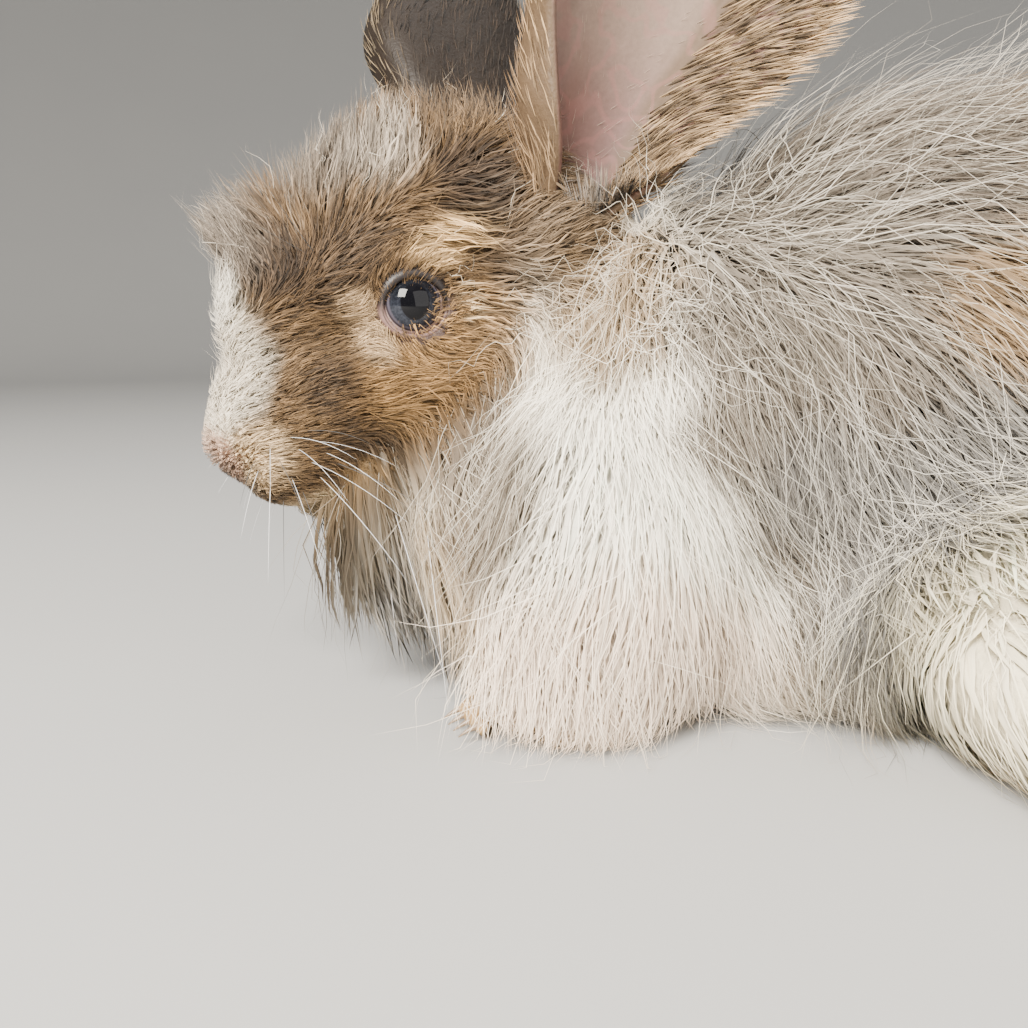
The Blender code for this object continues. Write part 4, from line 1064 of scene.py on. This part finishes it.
def grow(name, weight, count, steps, per_clump, pull, lock_pull, chance):
    """One region of the coat: broad strands below, fine ones above and a few strays."""
    roots, unwrap = pick_roots(weight, count, chance)
    _, out, depth, shares = flesh(roots)
    numbers = coat_numbers(roots, out, depth, shares)
    long = ease((numbers[:, 0] - 12) / 16)
    kind = chance.random(count)
    under = kind < 0.16 + 0.14 * long
    strays = kind > 0.93
    numbers[:, 1] *= np.where(under, chance.uniform(0.25, 0.65, count), chance.uniform(0.55, 1.08, count))
    numbers[:, 2] *= np.where(under, 2.8 + 2.6 * long, 1.0) * chance.uniform(0.75, 1.25, count)
    numbers[strays, 0] *= 1.2
    numbers[strays, 1] *= 1.35
    numbers[strays, 2] *= 0.5
    numbers[strays, 4] *= 1.8
    turn = chance.normal(0, 0.11 + 0.12 * long) + strays * chance.normal(0, 0.4, count)
    paths, outs = body_paths(roots, numbers, steps, turn, chance)
    leader = leaders_of(roots, per_clump, chance)
    lock = leaders_of(roots, STRANDS_IN_LOCK, chance)
    loose = paths
    paths = drawn(paths, lock, lock_pull, 1.6, chance)
    paths = drawn(paths, leader, pull, 1.1, chance)
    paths = np.where(strays[:, None, None], loose, paths)
    paths = waved(paths, outs, numbers[:, 4], leader, 1.0, chance)
    paths[:, 1:, 2] = np.maximum(paths[:, 1:, 2], FLOOR)
    at = (paths * 0.55 + roots[:, None] * 0.45).reshape(-1, 3)
    tints = markings(at, flesh(at)[3]).reshape(count, steps + 1, 3)
    tints = varied(tints, lock, strays, 1 - long, chance)
    # Under strands on long coats are painted darker, as painted shade deep in the coat
    tints = tints * np.where(under, 1 - 0.22 * long, 1.0)[:, None, None]
    return strand_mesh(name, paths, outs, numbers[:, 2], tints, unwrap, chance)


coat_pieces = []
chance = np.random.default_rng(11)
weights = regions()
for name, settings in REGIONS.items():
    piece = grow(name, weights[name], *settings, chance)
    coat_pieces.append(piece)

# %% [markdown]
# ## Fur of the ears
# The back of an ear carries short fur that lies towards its tip. On the inner side
# fur runs out across the rear edge, and the middle is almost bare.

# %% Ear fur
EAR_STRANDS = {"left": 6000, "right": 3800}


def ear_point(ear, share, across):
    """Place, way out of the back, way along and way across at points of an ear."""
    step = 0.01
    place = ear_place(ear, share, across)
    along = unit(ear_place(ear, share + step, across) - ear_place(ear, share - step, across))
    sideways = unit(ear_place(ear, share, across + step) - ear_place(ear, share, across - step))
    return place, unit(np.cross(sideways, along)), along, sideways


def ear_coat(name, ear, count, chance):
    """Fur of one ear: on its back, out across its rear edge, and a little inside."""
    front = ear["side"]
    share = chance.uniform(0.03, 0.985, count)
    kind = chance.choice(3, count, p=(0.48, 0.45, 0.07))
    across = chance.uniform(-0.995, 0.995, count)
    rear_edge = -front * (1 - 0.62 * chance.random(count) ** 1.3)
    across = np.where(kind == 1, rear_edge, across)
    inside = kind > 0
    place, out, along, sideways = ear_point(ear, share, across)
    _, middle_out, _, _ = ear_point(ear, np.full(1, 0.6), np.zeros(1))
    if middle_out[0] @ ear_axes(ear)[2] > 0:
        out = -out
    out = np.where(inside[:, None], -out, out)
    root = place + out * (EAR_WALL / 2 - 0.2)
    rim = ease((np.abs(across) - 0.5) / 0.45)
    low = 1 - ease(share / 0.3)
    outwards = sideways * np.sign(across)[:, None]
    inner_lie = outwards * (0.5 + 0.9 * rim)[:, None] + along * 0.75
    splay = 0.3 * rim ** 2 * (across * front < 0) - 0.15 * (across * front > 0.6)
    back_lie = along + outwards * splay[:, None]
    flow = np.where(inside[:, None], inner_lie, back_lie) + chance.normal(0, 0.09, (count, 3))
    flow = unit(flow)
    length = np.where(kind == 0, 5.5 + 7 * low, np.where(kind == 1, 8.0 + 9 * low, 3.0 + 7 * low))
    length = length * chance.uniform(0.7, 1.2, count)
    rise = np.where(kind == 0, 1.7, np.where(kind == 1, 1.8, 0.8)) * chance.uniform(0.4, 1.3, count)
    steps = 2
    t = np.linspace(0, 1, steps + 1)[None, :, None]
    paths = root[:, None] + flow[:, None] * (length[:, None, None] * t)
    paths = paths + out[:, None] * ((rise + 2.5 * low)[:, None, None] * t ** 0.7)
    # For the right ear these colours carry painted shade
    back, pale = np.array(EAR_BACK[name]), np.array(EAR_EDGE[name])
    strip = ease((across * front - 0.15) / 0.3)[:, None]
    back = back + (np.array(EAR_STRIP[name]) - back) * strip
    tone = np.where((kind == 0)[:, None], back + (pale - back) * 0.7 * rim[:, None] ** 3, pale)
    streak = np.sin(share * 70 + np.sin(across * 9) * 2) + chance.normal(0, 0.6, count)
    dark = (kind == 1) & (streak > 0.2) & (np.abs(across) < 0.93) & (across * front < 0)
    tone = np.where(((kind == 1) & (np.abs(across) < 0.9))[:, None], tone * 0.62, tone)
    tone = np.where(dark[:, None], tone * 0.35, tone)
    hair = chance.random(count)
    tone = tone * np.where(hair < 0.25, 0.5, np.where(hair > 0.72, 1.9, 1.0))[:, None]
    tone = np.where((kind == 2)[:, None], EAR_INSIDE_HAIR, tone)
    tints = np.minimum(np.repeat(tone[:, None], steps + 1, axis=1), 0.95)
    width = np.where(kind == 2, 0.13, 0.36) * chance.uniform(0.7, 1.4, count)
    outs = np.repeat(out[:, None], steps + 1, axis=1)
    return paths, outs, width, tints, nearest_unwrap(root)


for name, ear in EARS.items():
    hairs = ear_coat(name, ear, EAR_STRANDS[name], chance)
    piece = strand_mesh("coat_ear_" + name, *hairs, chance, 0.3)
    coat_pieces.append(piece)

# %% [markdown]
# ## Stray hairs
# A halo of very thin wavy hairs stands out of the long wool and the crown, and a
# small tangle of curls sits on the whorl. They are what makes wool look like wool.

# %% Halo and curls
def strays(name, weight, count, steps, scale, turns, width, loose, chance):
    """Thin wavy hairs that stand out of the coat."""
    roots, unwrap = pick_roots(weight, count, chance)
    _, out, depth, shares = flesh(roots)
    numbers = coat_numbers(roots, out, depth, shares)
    numbers[:, 0] *= scale
    numbers[:, 1] *= scale * chance.uniform(0.8, 1.15, count)
    turn = chance.normal(0, loose, count)
    paths, outs = body_paths(roots, numbers, steps, turn, chance)
    leader = np.arange(count)
    paths = waved(paths, outs, 0.8 + numbers[:, 4], leader, turns, chance)
    paths[:, 1:, 2] = np.maximum(paths[:, 1:, 2], FLOOR)
    at = paths.reshape(-1, 3)
    tints = markings(at, flesh(at)[3]).reshape(count, steps + 1, 3)
    tints = tints + (np.array(WHITE) - tints) * chance.uniform(0.1, 0.5, count)[:, None, None]
    widths = width * chance.uniform(0.8, 1.4, count)
    return strand_mesh(name, paths, outs, widths, tints, unwrap, chance, 0.4)


stray_weight = sum(weights[name] for name in ("coat_crown", "coat_ruff", "coat_flank_left", "coat_back"))
fewer = sum(weights[name] for name in ("coat_flank_right", "coat_rump", "coat_beard"))
stray_weight = stray_weight + 0.6 * fewer
knot = np.exp(-(np.linalg.norm(face_middle - WHORL, axis=1) / 18) ** 2) * weights["coat_ruff"]
knot = knot + 0.5 * np.exp(-(np.linalg.norm(face_middle - WHORL, axis=1) / 24) ** 2) * weights["coat_back"]
# Hairs, steps, length and height against the coat's, turns of the wave, width and spread
for piece in (strays("coat_strays", stray_weight, 900, 8, 1.18, 2.2, 0.16, 0.45, chance),
              strays("coat_curls", knot, 170, 14, 0.9, 3.4, 0.26, 1.4, chance)):
    coat_pieces.append(piece)
total = sum(len(piece.data.polygons) for piece in coat_pieces)
print("coat:", total, "triangles in", len(coat_pieces), "pieces")

# %% [markdown]
# ## Shader maths as expressions
# A small class wraps a socket, so that `tint * (0.7 + 0.3 * streaks)` adds the nodes
# that it names. Numbers use Math nodes, colours use Mix and Vector Math nodes.


# %% Shader class
class Wire:
    """A value or colour that flows through a material's nodes."""

    def __init__(self, nodes, socket, colour=False):
        self.nodes, self.socket, self.colour = nodes, socket, colour

    def _math(self, operation, first, second):
        """A node that combines two wires or numbers."""
        colour = any(isinstance(item, Wire) and item.colour for item in (first, second))
        if colour:
            return self.nodes.add("ShaderNodeVectorMath", {"operation": operation}, "Vector",
                                  {0: spread_out(first), 1: spread_out(second)}, colour=True)
        return self.nodes.add("ShaderNodeMath", {"operation": operation}, "Value", {0: first, 1: second})

    def __add__(self, other):
        return self._math("ADD", self, other)

    def __radd__(self, other):
        return self._math("ADD", other, self)

    def __sub__(self, other):
        return self._math("SUBTRACT", self, other)

    def __rsub__(self, other):
        return self._math("SUBTRACT", other, self)

    def __mul__(self, other):
        return self._math("MULTIPLY", self, other)

    def __rmul__(self, other):
        return self._math("MULTIPLY", other, self)

    def step(self, low, high):
        """Zero below low, one above high, smooth between."""
        return self.nodes.add("ShaderNodeMapRange", {"interpolation_type": "SMOOTHSTEP"}, "Result",
                              {"Value": self, "From Min": low, "From Max": high})


def spread_out(item):
    """A plain number as three, so that it can meet a colour."""
    return (item,) * 3 if isinstance(item, (int, float)) else item


class Finish:
    """A material being made, with one method that adds any node."""

    def __init__(self, name, roughness, specular=0.5):
        self.material = bpy.data.materials.new(name)
        self.material.use_nodes = True
        self.tree = self.material.node_tree
        self.shader = self.tree.nodes["Principled BSDF"]
        self.shader.inputs["Roughness"].default_value = roughness
        self.shader.inputs["Specular IOR Level"].default_value = specular

    def add(self, kind, settings, output, inputs, colour=False):
        """Add a node, with its settings first and then its sockets, and give one output."""
        node = self.tree.nodes.new(kind)
        for name, value in settings.items():
            setattr(node, name, value)
        for name, value in inputs.items():
            self.feed(node.inputs[name], value)
        return Wire(self, node.outputs[output], colour)

    def feed(self, socket, value):
        """Link a wire to a socket, or set a plain value on it."""
        if isinstance(value, Wire):
            self.tree.links.new(value.socket, socket)
        elif isinstance(value, tuple) and len(socket.default_value) > len(value):
            socket.default_value = (*value, 1.0)
        else:
            socket.default_value = value

    def mix(self, share, first, second):
        """A colour between two, by share."""
        return self.add("ShaderNodeMix", {"data_type": "RGBA"}, 2, {0: share, 6: first, 7: second},
                        colour=True)

    def noise(self, vector, scale, detail=2.0, rough=0.5):
        """Smooth noise, from 0 to 1."""
        return self.add("ShaderNodeTexNoise", {}, "Fac",
                        {"Vector": vector, "Scale": scale, "Detail": detail, "Roughness": rough})

    def place(self, name="Object"):
        """The object's own coordinates."""
        return self.add("ShaderNodeTexCoord", {}, name, {}, colour=True)

    def attribute(self, name, output="Fac"):
        """A number or colour kept on the mesh's corners."""
        return self.add("ShaderNodeAttribute", {"attribute_name": name}, output, {}, output == "Color")

    def unwrapped(self, name):
        """A piece's own flat map."""
        return self.add("ShaderNodeUVMap", {"uv_map": name}, "UV", {}, colour=True)

    def scaled(self, vector, size):
        """A vector stretched along its axes."""
        return self.add("ShaderNodeVectorMath", {"operation": "MULTIPLY"}, "Vector",
                        {0: vector, 1: size}, colour=True)

    def dot(self, vector, axis):
        """How far a vector goes along a fixed axis."""
        return self.add("ShaderNodeVectorMath", {"operation": "DOT_PRODUCT"}, "Value",
                        {0: vector, 1: tuple(axis)})

    def bump(self, height, strength, distance):
        """Roughen the surface by a height."""
        bent = self.add("ShaderNodeBump", {}, "Normal",
                        {"Height": height, "Strength": strength, "Distance": distance})
        self.feed(self.shader.inputs["Normal"], bent)

    def set(self, **values):
        """Set sockets of the surface shader; underscores stand for spaces."""
        for name, value in values.items():
            self.feed(self.shader.inputs[name.replace("_", " ")], value)

    def paint(self, *things):
        """Give the material to objects."""
        for thing in things:
            thing.data.materials.clear()
            thing.data.materials.append(self.material)


# %% [markdown]
# ## Wool
# A strand is a bundle of many hairs. Fine streaks along it, a darker root, a lighter
# tip and a small change from strand to strand make one mesh look like many hairs.

# %% Wool material
def wool(name, banding, contrast, root_shade):
    """Wool or fur for strands: banding darkens a belt before the tip, as agouti does."""
    finish = Finish(name, 0.7, 0.2)
    tint = finish.attribute("tint", "Color")
    along, own = finish.attribute("along"), finish.attribute("own")
    spot = finish.scaled(finish.unwrapped("Strand"), (2.4, 0.9, 1.0))
    offset = finish.add("ShaderNodeCombineXYZ", {}, "Vector", {"X": own * 91.0, "Y": own * 37.0},
                        colour=True)
    streaks = finish.noise(spot + offset, 2.0, 2.0, 0.6)
    # The darker root is painted shade: the depth of the coat, where less light reaches
    root = along.step(0.0, 0.5)
    belt = along.step(0.35, 0.6) * (1.0 - along.step(0.7, 0.95))
    shade = (root_shade + (1.0 - root_shade) * root) * (1.0 - contrast * 0.5 + contrast * own)
    shade = shade * (0.74 + 0.52 * streaks) * (1.0 - banding * belt * own)
    finish.set(Base_Color=tint * shade, Sheen_Weight=0.1, Sheen_Roughness=0.5)
    return finish


fur = wool("agouti_fur", 0.6, 0.4, 0.6)
fur.paint(*[piece for piece in coat_pieces if piece.name.startswith(("coat_face", "coat_crown"))])
ear_fur = wool("ear_fur", 0.15, 0.3, 0.7)
ear_fur.paint(*[piece for piece in coat_pieces if piece.name.startswith("coat_ear")])
long_wool = wool("long_wool", 0.0, 0.24, 0.9)
long_wool.paint(*[piece for piece in coat_pieces if not piece.material_slots])
print("wool on", len(coat_pieces), "pieces")

# %% [markdown]
# ## Skin
# Under the coat the skin carries the same colours, roughened like short underfur.
# In the ears it is bare and smoother, with faint veins.

# %% Skin material
hide = Finish("skin_and_underfur", 0.6, 0.3)
hide_tint = hide.attribute("tint", "Color")
bare = hide.attribute("bare")
where = hide.place()
fuzz = hide.noise(where, 900.0, 2.0, 0.6)
mottle = hide.noise(where, 60.0, 3.0, 0.6)
veins = hide.noise(where, 110.0, 1.0, 0.5)
vein = 1.0 - (veins - 0.5) * (veins - 0.5) * 160.0
vein = vein.step(0.55, 1.0) * bare
base = hide_tint * (0.72 + 0.35 * fuzz + 0.2 * mottle)
base = hide.mix(vein * 0.2, base, (0.33, 0.13, 0.12))
hide.set(Base_Color=base)
hide.bump(fuzz * (1.0 - 0.8 * bare) + mottle * bare, 0.5, 0.0005)
hide.paint(skin)
print("skin finished")

# %% [markdown]
# ## Eyes
# A rabbit's eye bulges from the side of the head. The ball is one sphere; its pupil,
# iris and white follow from the angle to the direction it looks in, and a clear coat
# makes it wet. A rim of bare lid goes round each opening.

# %% Eyes and lids
LOOKS_LEFT = HEAD_TURN @ unit(np.array([0.27, -0.96, 0.08]))
# Half width and half height of the pupil, in radii of the ball
PUPIL = (0.36, 0.44)
RIM_STEPS = 64
RIM_THIN = 0.1
eyes = {}
for name, side in (("left", -1), ("right", 1)):
    centre = from_head((side * EYE_SIDE, 0, 0))
    gaze = (LOOKS_LEFT * (-side, 1, 1)) @ HEAD_TURN
    level = unit(np.cross(gaze, upright))
    rise = np.cross(level, gaze)
    bpy.ops.object.select_all(action="DESELECT")
    bpy.ops.mesh.primitive_uv_sphere_add(segments=64, ring_count=48, radius=EYE_RADIUS * MM,
                                         location=Vector(centre) * MM,
                                         rotation=Vector(gaze).to_track_quat("Z", "Y").to_euler())
    eye = bpy.context.active_object
    eye.name = "eye_ball_" + name
    bpy.ops.object.transform_apply(location=True, rotation=True, scale=True)
    offset = corners_of(eye) / MM - centre
    lift = 1 + 0.05 * ease((unit(offset) @ gaze - 0.68) / 0.3)
    eye.data.vertices.foreach_set("co", ((centre + offset * lift[:, None]) * MM).ravel())
    bpy.ops.object.shade_smooth()
    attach(eye, "root")
    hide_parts("eye_" + name)
    wet = Finish("wet_eye_" + name, 0.25, 0.0)
    offset = wet.add("ShaderNodeVectorMath", {"operation": "SUBTRACT"}, "Vector",
                     {0: wet.place(), 1: tuple(centre * MM)}, colour=True)
    toward = wet.add("ShaderNodeVectorMath", {"operation": "NORMALIZE"}, "Vector", {0: offset}, colour=True)
    wide, high, facing = [wet.dot(toward, axis) for axis in (level, rise, gaze)]
    round_iris = wide * wide + high * high
    oval = wide * wide * (1 / PUPIL[0] ** 2) + high * high * (1 / PUPIL[1] ** 2)
    fibres = wet.noise(toward, 14.0, 3.0, 0.7)
    iris = wet.mix(fibres.step(0.3, 0.75), (0.008, 0.009, 0.013), (0.024, 0.027, 0.036))
    # Darker towards the top and lighter towards the bottom: painted shade of the upper lid on the iris, and
    # painted light on its lower part
    iris = wet.mix(high.step(-0.35, 0.4), iris * 1.3, iris * 0.35)
    iris = wet.mix(round_iris.step(0.36, 0.42), iris, (0.06, 0.054, 0.07))
    iris = wet.mix(round_iris.step(0.44, 0.47), iris, (0.03, 0.025, 0.03))
    ball_colour = wet.mix(round_iris.step(0.50, 0.54), iris, (0.35, 0.25, 0.23))
    ball_colour = wet.mix(facing.step(0.0, 0.01), (0.62, 0.52, 0.50), ball_colour)
    ball_colour = wet.mix(oval.step(0.92, 1.06), (0.003, 0.003, 0.004), ball_colour)
    wet.set(Base_Color=ball_colour, Coat_Weight=0.7, Coat_Roughness=0.02, Coat_IOR=1.36)
    wet.paint(eye)
    eyes[name] = eye
print("eyes:", list(eyes))


def lid_rim(name, side):
    """The bare rim round an eye's opening, thicker above."""
    angle = np.linspace(0, 2 * math.pi, RIM_STEPS + 1)[:-1]
    long = EYE_LONG * 0.985 * np.cos(angle)
    high = EYE_HIGH * 0.985 * np.sin(angle)
    ahead = long * math.cos(EYE_TILT) - high * math.sin(EYE_TILT)
    up = long * math.sin(EYE_TILT) + high * math.cos(EYE_TILT)
    out = np.sqrt(np.maximum((EYE_RADIUS + 0.8) ** 2 - ahead ** 2 - up ** 2, 0))
    centre = from_head((side * EYE_SIDE, 0, 0))
    ring = from_head(np.stack((side * (EYE_SIDE + out), ahead, up), axis=1))
    thick = 0.75 + 0.6 * ease((ring[:, 2] - centre[2] + 1) / 7)
    bpy.ops.object.select_all(action="DESELECT")
    bpy.ops.mesh.primitive_torus_add(major_segments=RIM_STEPS, minor_segments=12, major_radius=1,
                                     minor_radius=RIM_THIN, location=(0, 0, 0))
    rim = bpy.context.active_object
    rim.name = name
    around = corners_of(rim)
    turn = np.arctan2(around[:, 1], around[:, 0]) % (2 * math.pi)
    index = np.round(turn / (2 * math.pi) * RIM_STEPS).astype(int) % RIM_STEPS
    middle = from_head((side * (EYE_SIDE + 9), 0, 0))
    outward = unit(ring - centre)
    flow = unit(np.roll(ring, -1, axis=0) - np.roll(ring, 1, axis=0))
    sideways = unit(np.cross(outward, flow))
    sideways = sideways * np.sign(((ring - middle) * sideways).sum(axis=1))[:, None]
    radial = (np.hypot(around[:, 0], around[:, 1]) - 1) / RIM_THIN
    lifted = around[:, 2] / RIM_THIN
    places = ring[index] + sideways[index] * (radial * thick[index] * 1.3)[:, None]
    places = places + outward[index] * (lifted * thick[index] * 0.9)[:, None]
    rim.data.vertices.foreach_set("co", (places * MM).ravel())
    face_outwards(rim)
    bpy.ops.object.shade_smooth()
    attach(rim, "root")
    return rim


rims = [lid_rim("lid_rim_left", -1), lid_rim("lid_rim_right", 1)]
lid = Finish("bare_lid", 0.45, 0.4)
height = lid.add("ShaderNodeSeparateXYZ", {}, "Z", {"Vector": lid.place()})
upper = height.step((HEAD_PLACE[2] - 3.5) * MM, (HEAD_PLACE[2] + 1.0) * MM)
crease = lid.noise(lid.place(), 700.0, 2.0)
lid.set(Base_Color=lid.mix(upper, (0.20, 0.12, 0.105), (0.010, 0.007, 0.007)) * (0.7 + 0.5 * crease))
lid.bump(crease, 0.4, 0.0003)
lid.paint(*rims)
print("lid rims made")

# %% [markdown]
# ## Whiskers, lashes and claws
# Whiskers are long tapered hairs that spring from the lip pads and the brow. Lashes
# stand over each eye, a few long hairs hang from the beard and ruff, and claws are
# curved cones at the ends of the toes.

# %% Whiskers
def whisker_path(root, direction, length, droop, steps=9):
    """A whisker's curved path from its root, in mm."""
    t = np.linspace(0, 1, steps)[:, None]
    return np.asarray(root) + unit(np.asarray(direction, float)) * length * t \
        + np.array((0, 0, -1.0)) * droop * t ** 2


LASHES = 22
LASH_LENGTH = 3.4
# Whiskers stop at this place ahead of the nose, inside the room that the scene may fill
WHISKERS_END = -160.0
WHISKERS = []
chance = np.random.default_rng(5)
for side in (-1, 1):
    for row in range(4):
        for column in range(4):
            local = np.array([side * (9.5 + column * 1.2), 49 - column * 4.0, -9.5 - row * 3.0])
            root, _, _, _ = skin_tree.find_nearest(Vector(from_head(local)))
            turn = np.array([side * 1.0, 0.5 - 0.3 * column, 0.1 - 0.2 * row]) + chance.normal(0, 0.1, 3)
            length = (24, 34, 42, 36)[column] * chance.uniform(0.85, 1.1)
            tone = 0.1 if chance.random() < 0.2 else 0.85
            WHISKERS.append((np.array(root), turn @ HEAD_TURN, length, 6.0, 0.085, tone))
for side, turn, length, tone in ((-1, (-0.5, 0.55, 0.9), 36, 0.1), (-1, (-0.9, 0.2, 0.8), 30, 0.1),
                                 (1, (0.5, 0.5, 0.9), 36, 0.1), (1, (0.9, 0.2, 0.8), 30, 0.8)):
    root, _, _, _ = skin_tree.find_nearest(Vector(from_head((side * 17, 12, 22))))
    WHISKERS.append((np.array(root), np.array(turn) @ HEAD_TURN, length, -2.0, 0.09, tone))
LONG_HAIRS = (
    ((-78, -34, 64), (0.14, -0.16, -1.0), 62, 0.08, 0.04),
    ((-104, -20, 50), (0.3, -0.15, -1.0), 46, 0.1, 0.85),
    ((-96, -24, 46), (0.12, -0.2, -1.0), 44, 0.1, 0.85),
    ((-108, -14, 48), (0.1, -0.1, -1.0), 34, 0.08, 0.7),
)
for root, direction, length, radius, tone in LONG_HAIRS:
    WHISKERS.append((np.array(root), np.array(direction), length, 0.0, radius, tone))
for side in (-1, 1):
    for angle in np.linspace(20, 160, LASHES):
        ahead = EYE_LONG * math.cos(math.radians(angle))
        up = EYE_HIGH * 1.04 * math.sin(math.radians(angle))
        turned = (ahead * math.cos(EYE_TILT) - up * math.sin(EYE_TILT),
                  ahead * math.sin(EYE_TILT) + up * math.cos(EYE_TILT))
        out = math.sqrt(max((EYE_RADIUS + 1.2) ** 2 - turned[0] ** 2 - turned[1] ** 2, 0))
        root = from_head((side * (EYE_SIDE + out), *turned))
        turn = np.array([side * 1.0, turned[0] * 0.05, 0.35 + turned[1] * 0.05])
        length = LASH_LENGTH * chance.uniform(0.7, 1.2)
        WHISKERS.append((root, turn @ HEAD_TURN, length, 0.3, 0.09, 0.02))


def whisker_mesh(name, hairs):
    """All the whiskers, lashes and longest hairs as one mesh of tapered strands."""
    paths = np.stack([whisker_path(*hair[:4]) for hair in hairs])
    paths[:, :, 2] = np.maximum(paths[:, :, 2], FLOOR)
    paths[:, :, 0] = np.maximum(paths[:, :, 0], WHISKERS_END)
    outs = np.tile(np.array((0.0, -0.3, 1.0)), (len(hairs), paths.shape[1], 1))
    width = np.array([hair[4] * 2 for hair in hairs])
    tints = np.stack([np.full((paths.shape[1], 3), hair[5]) for hair in hairs])
    unwrap = nearest_unwrap(paths[:, 0])
    piece = strand_mesh(name, paths, outs, width, tints, unwrap, np.random.default_rng(3), 0.2)
    return piece


whiskers = whisker_mesh("whiskers", WHISKERS)
hair = Finish("whisker_hair", 0.3, 0.5)
hair.set(Base_Color=hair.attribute("tint", "Color") * (0.75 + 0.25 * hair.attribute("along")))
hair.paint(whiskers)

# %% Claws
CLAW_LENGTH = 6.0
CLAW_BEND = 0.035


def claw(end, direction, width):
    """One curved claw at the end of a toe."""
    bpy.ops.object.select_all(action="DESELECT")
    bpy.ops.mesh.primitive_cone_add(vertices=12, radius1=width * 0.26 * MM, radius2=0.12 * MM,
                                    depth=CLAW_LENGTH * MM, location=(0, 0, 0))
    horn = bpy.context.active_object
    bpy.ops.object.mode_set(mode="EDIT")
    bpy.ops.mesh.select_all(action="SELECT")
    bpy.ops.mesh.subdivide(number_cuts=3)
    bpy.ops.object.mode_set(mode="OBJECT")
    local = corners_of(horn) / MM
    bent = local.copy()
    bent[:, 1] -= CLAW_BEND * (local[:, 2] + CLAW_LENGTH / 2) ** 2
    frame_z = unit(direction)
    frame_x = unit(np.cross(upright, frame_z))
    turn = np.stack((frame_x, np.cross(frame_z, frame_x), frame_z))
    horn.data.vertices.foreach_set("co", ((np.asarray(end) + bent @ turn) * MM).ravel())
    return horn


claws = []
toes = list(toe_lines())
for index, (middle, end, width) in enumerate(toes):
    start, stop, _ = FEET[index // TOES]
    direction = unit(np.array(stop, float) - np.array(start, float)) + np.array((0, 0, -0.12))
    claws.append(claw(end + unit(direction) * 0.5 + np.array((0, 0, 0.2)), direction, width))
claws = joined("claws", claws)
only(claws)
bpy.ops.object.shade_smooth()
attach(claws, "root")
horn = Finish("claw_horn", 0.3, 0.5)
grain = horn.noise(horn.place(), 260.0, 3.0)
horn.set(Base_Color=horn.mix(grain, (0.10, 0.065, 0.04), (0.34, 0.24, 0.15)))
horn.bump(grain, 0.2, 0.0002)
horn.paint(claws)
print(len(WHISKERS), "whiskers and lashes,", len(toes), "claws")

# %% [markdown]
# ## Floor, light and camera
# The floor is plain and pale. Broad soft lights from the front and above stand for a
# studio, and one of them is what the eye reflects as a window.

# %% Floor
# Distance from the rabbit, in metres, up to which the floor is flat, and how fast it then rises
FLAT_TO = 1.5
RISE = 0.75
bpy.ops.object.select_all(action="DESELECT")
bpy.ops.mesh.primitive_grid_add(x_subdivisions=60, y_subdivisions=60, size=7, location=(0, 0, 0))
floor = bpy.context.active_object
floor.name = "studio_floor"
# Far away the floor rises all round, so that no horizon is seen
for vertex in floor.data.vertices:
    vertex.co.z = RISE * max(math.hypot(vertex.co.x, vertex.co.y) - FLAT_TO, 0) ** 2
bpy.ops.object.shade_smooth()
ground = Finish("pale_floor", 0.8, 0.2)
ground.set(Base_Color=ground.mix(ground.noise(ground.place(), 3.0), (0.36, 0.36, 0.36), (0.39, 0.39, 0.38)))
ground.paint(floor)

# %% Lights
def soft_light(name, place, target, size, power, warmth=(1.0, 1.0, 1.0)):
    """A square soft light aimed at a point."""
    lamp = bpy.data.lights.new(name, "AREA")
    lamp.size = size
    lamp.energy = power
    lamp.color = warmth
    thing = bpy.data.objects.new(name, lamp)
    thing.location = place
    thing.rotation_euler = (Vector(target) - Vector(place)).to_track_quat("-Z", "Y").to_euler()
    bpy.context.scene.collection.objects.link(thing)


soft_light("key", (-0.45, -0.95, 0.85), (-0.04, 0, 0.07), 0.6, 92, (1.0, 0.94, 0.85))
soft_light("fill", (0.9, -0.9, 0.5), (0.02, 0, 0.08), 1.2, 14, (1.0, 0.97, 0.93))
soft_light("above", (0.15, 0.45, 1.2), (0.02, 0, 0.1), 0.8, 5)
world = bpy.data.worlds.new("studio")
world.use_nodes = True
world.node_tree.nodes["Background"].inputs["Color"].default_value = (0.82, 0.82, 0.82, 1)
world.node_tree.nodes["Background"].inputs["Strength"].default_value = 0.5
bpy.context.scene.world = world

# %% Camera
CAMERA_PLACE = (-0.075, -0.268, 0.0986)
CAMERA_DOWN = 11
SENSOR = 36
PHOTO_WIDTH = 1028
FOCAL_PIXELS = 1030
camera = bpy.data.cameras.new("camera")
camera.sensor_width = SENSOR
camera.sensor_fit = "HORIZONTAL"
camera.lens = SENSOR * FOCAL_PIXELS / PHOTO_WIDTH
camera.clip_start = 0.01
view = bpy.data.objects.new("camera", camera)
view.location = CAMERA_PLACE
view.rotation_euler = (math.radians(90 - CAMERA_DOWN), 0, 0)
bpy.context.scene.collection.objects.link(view)
bpy.context.scene.camera = view
print("camera at", [round(size, 3) for size in view.location])
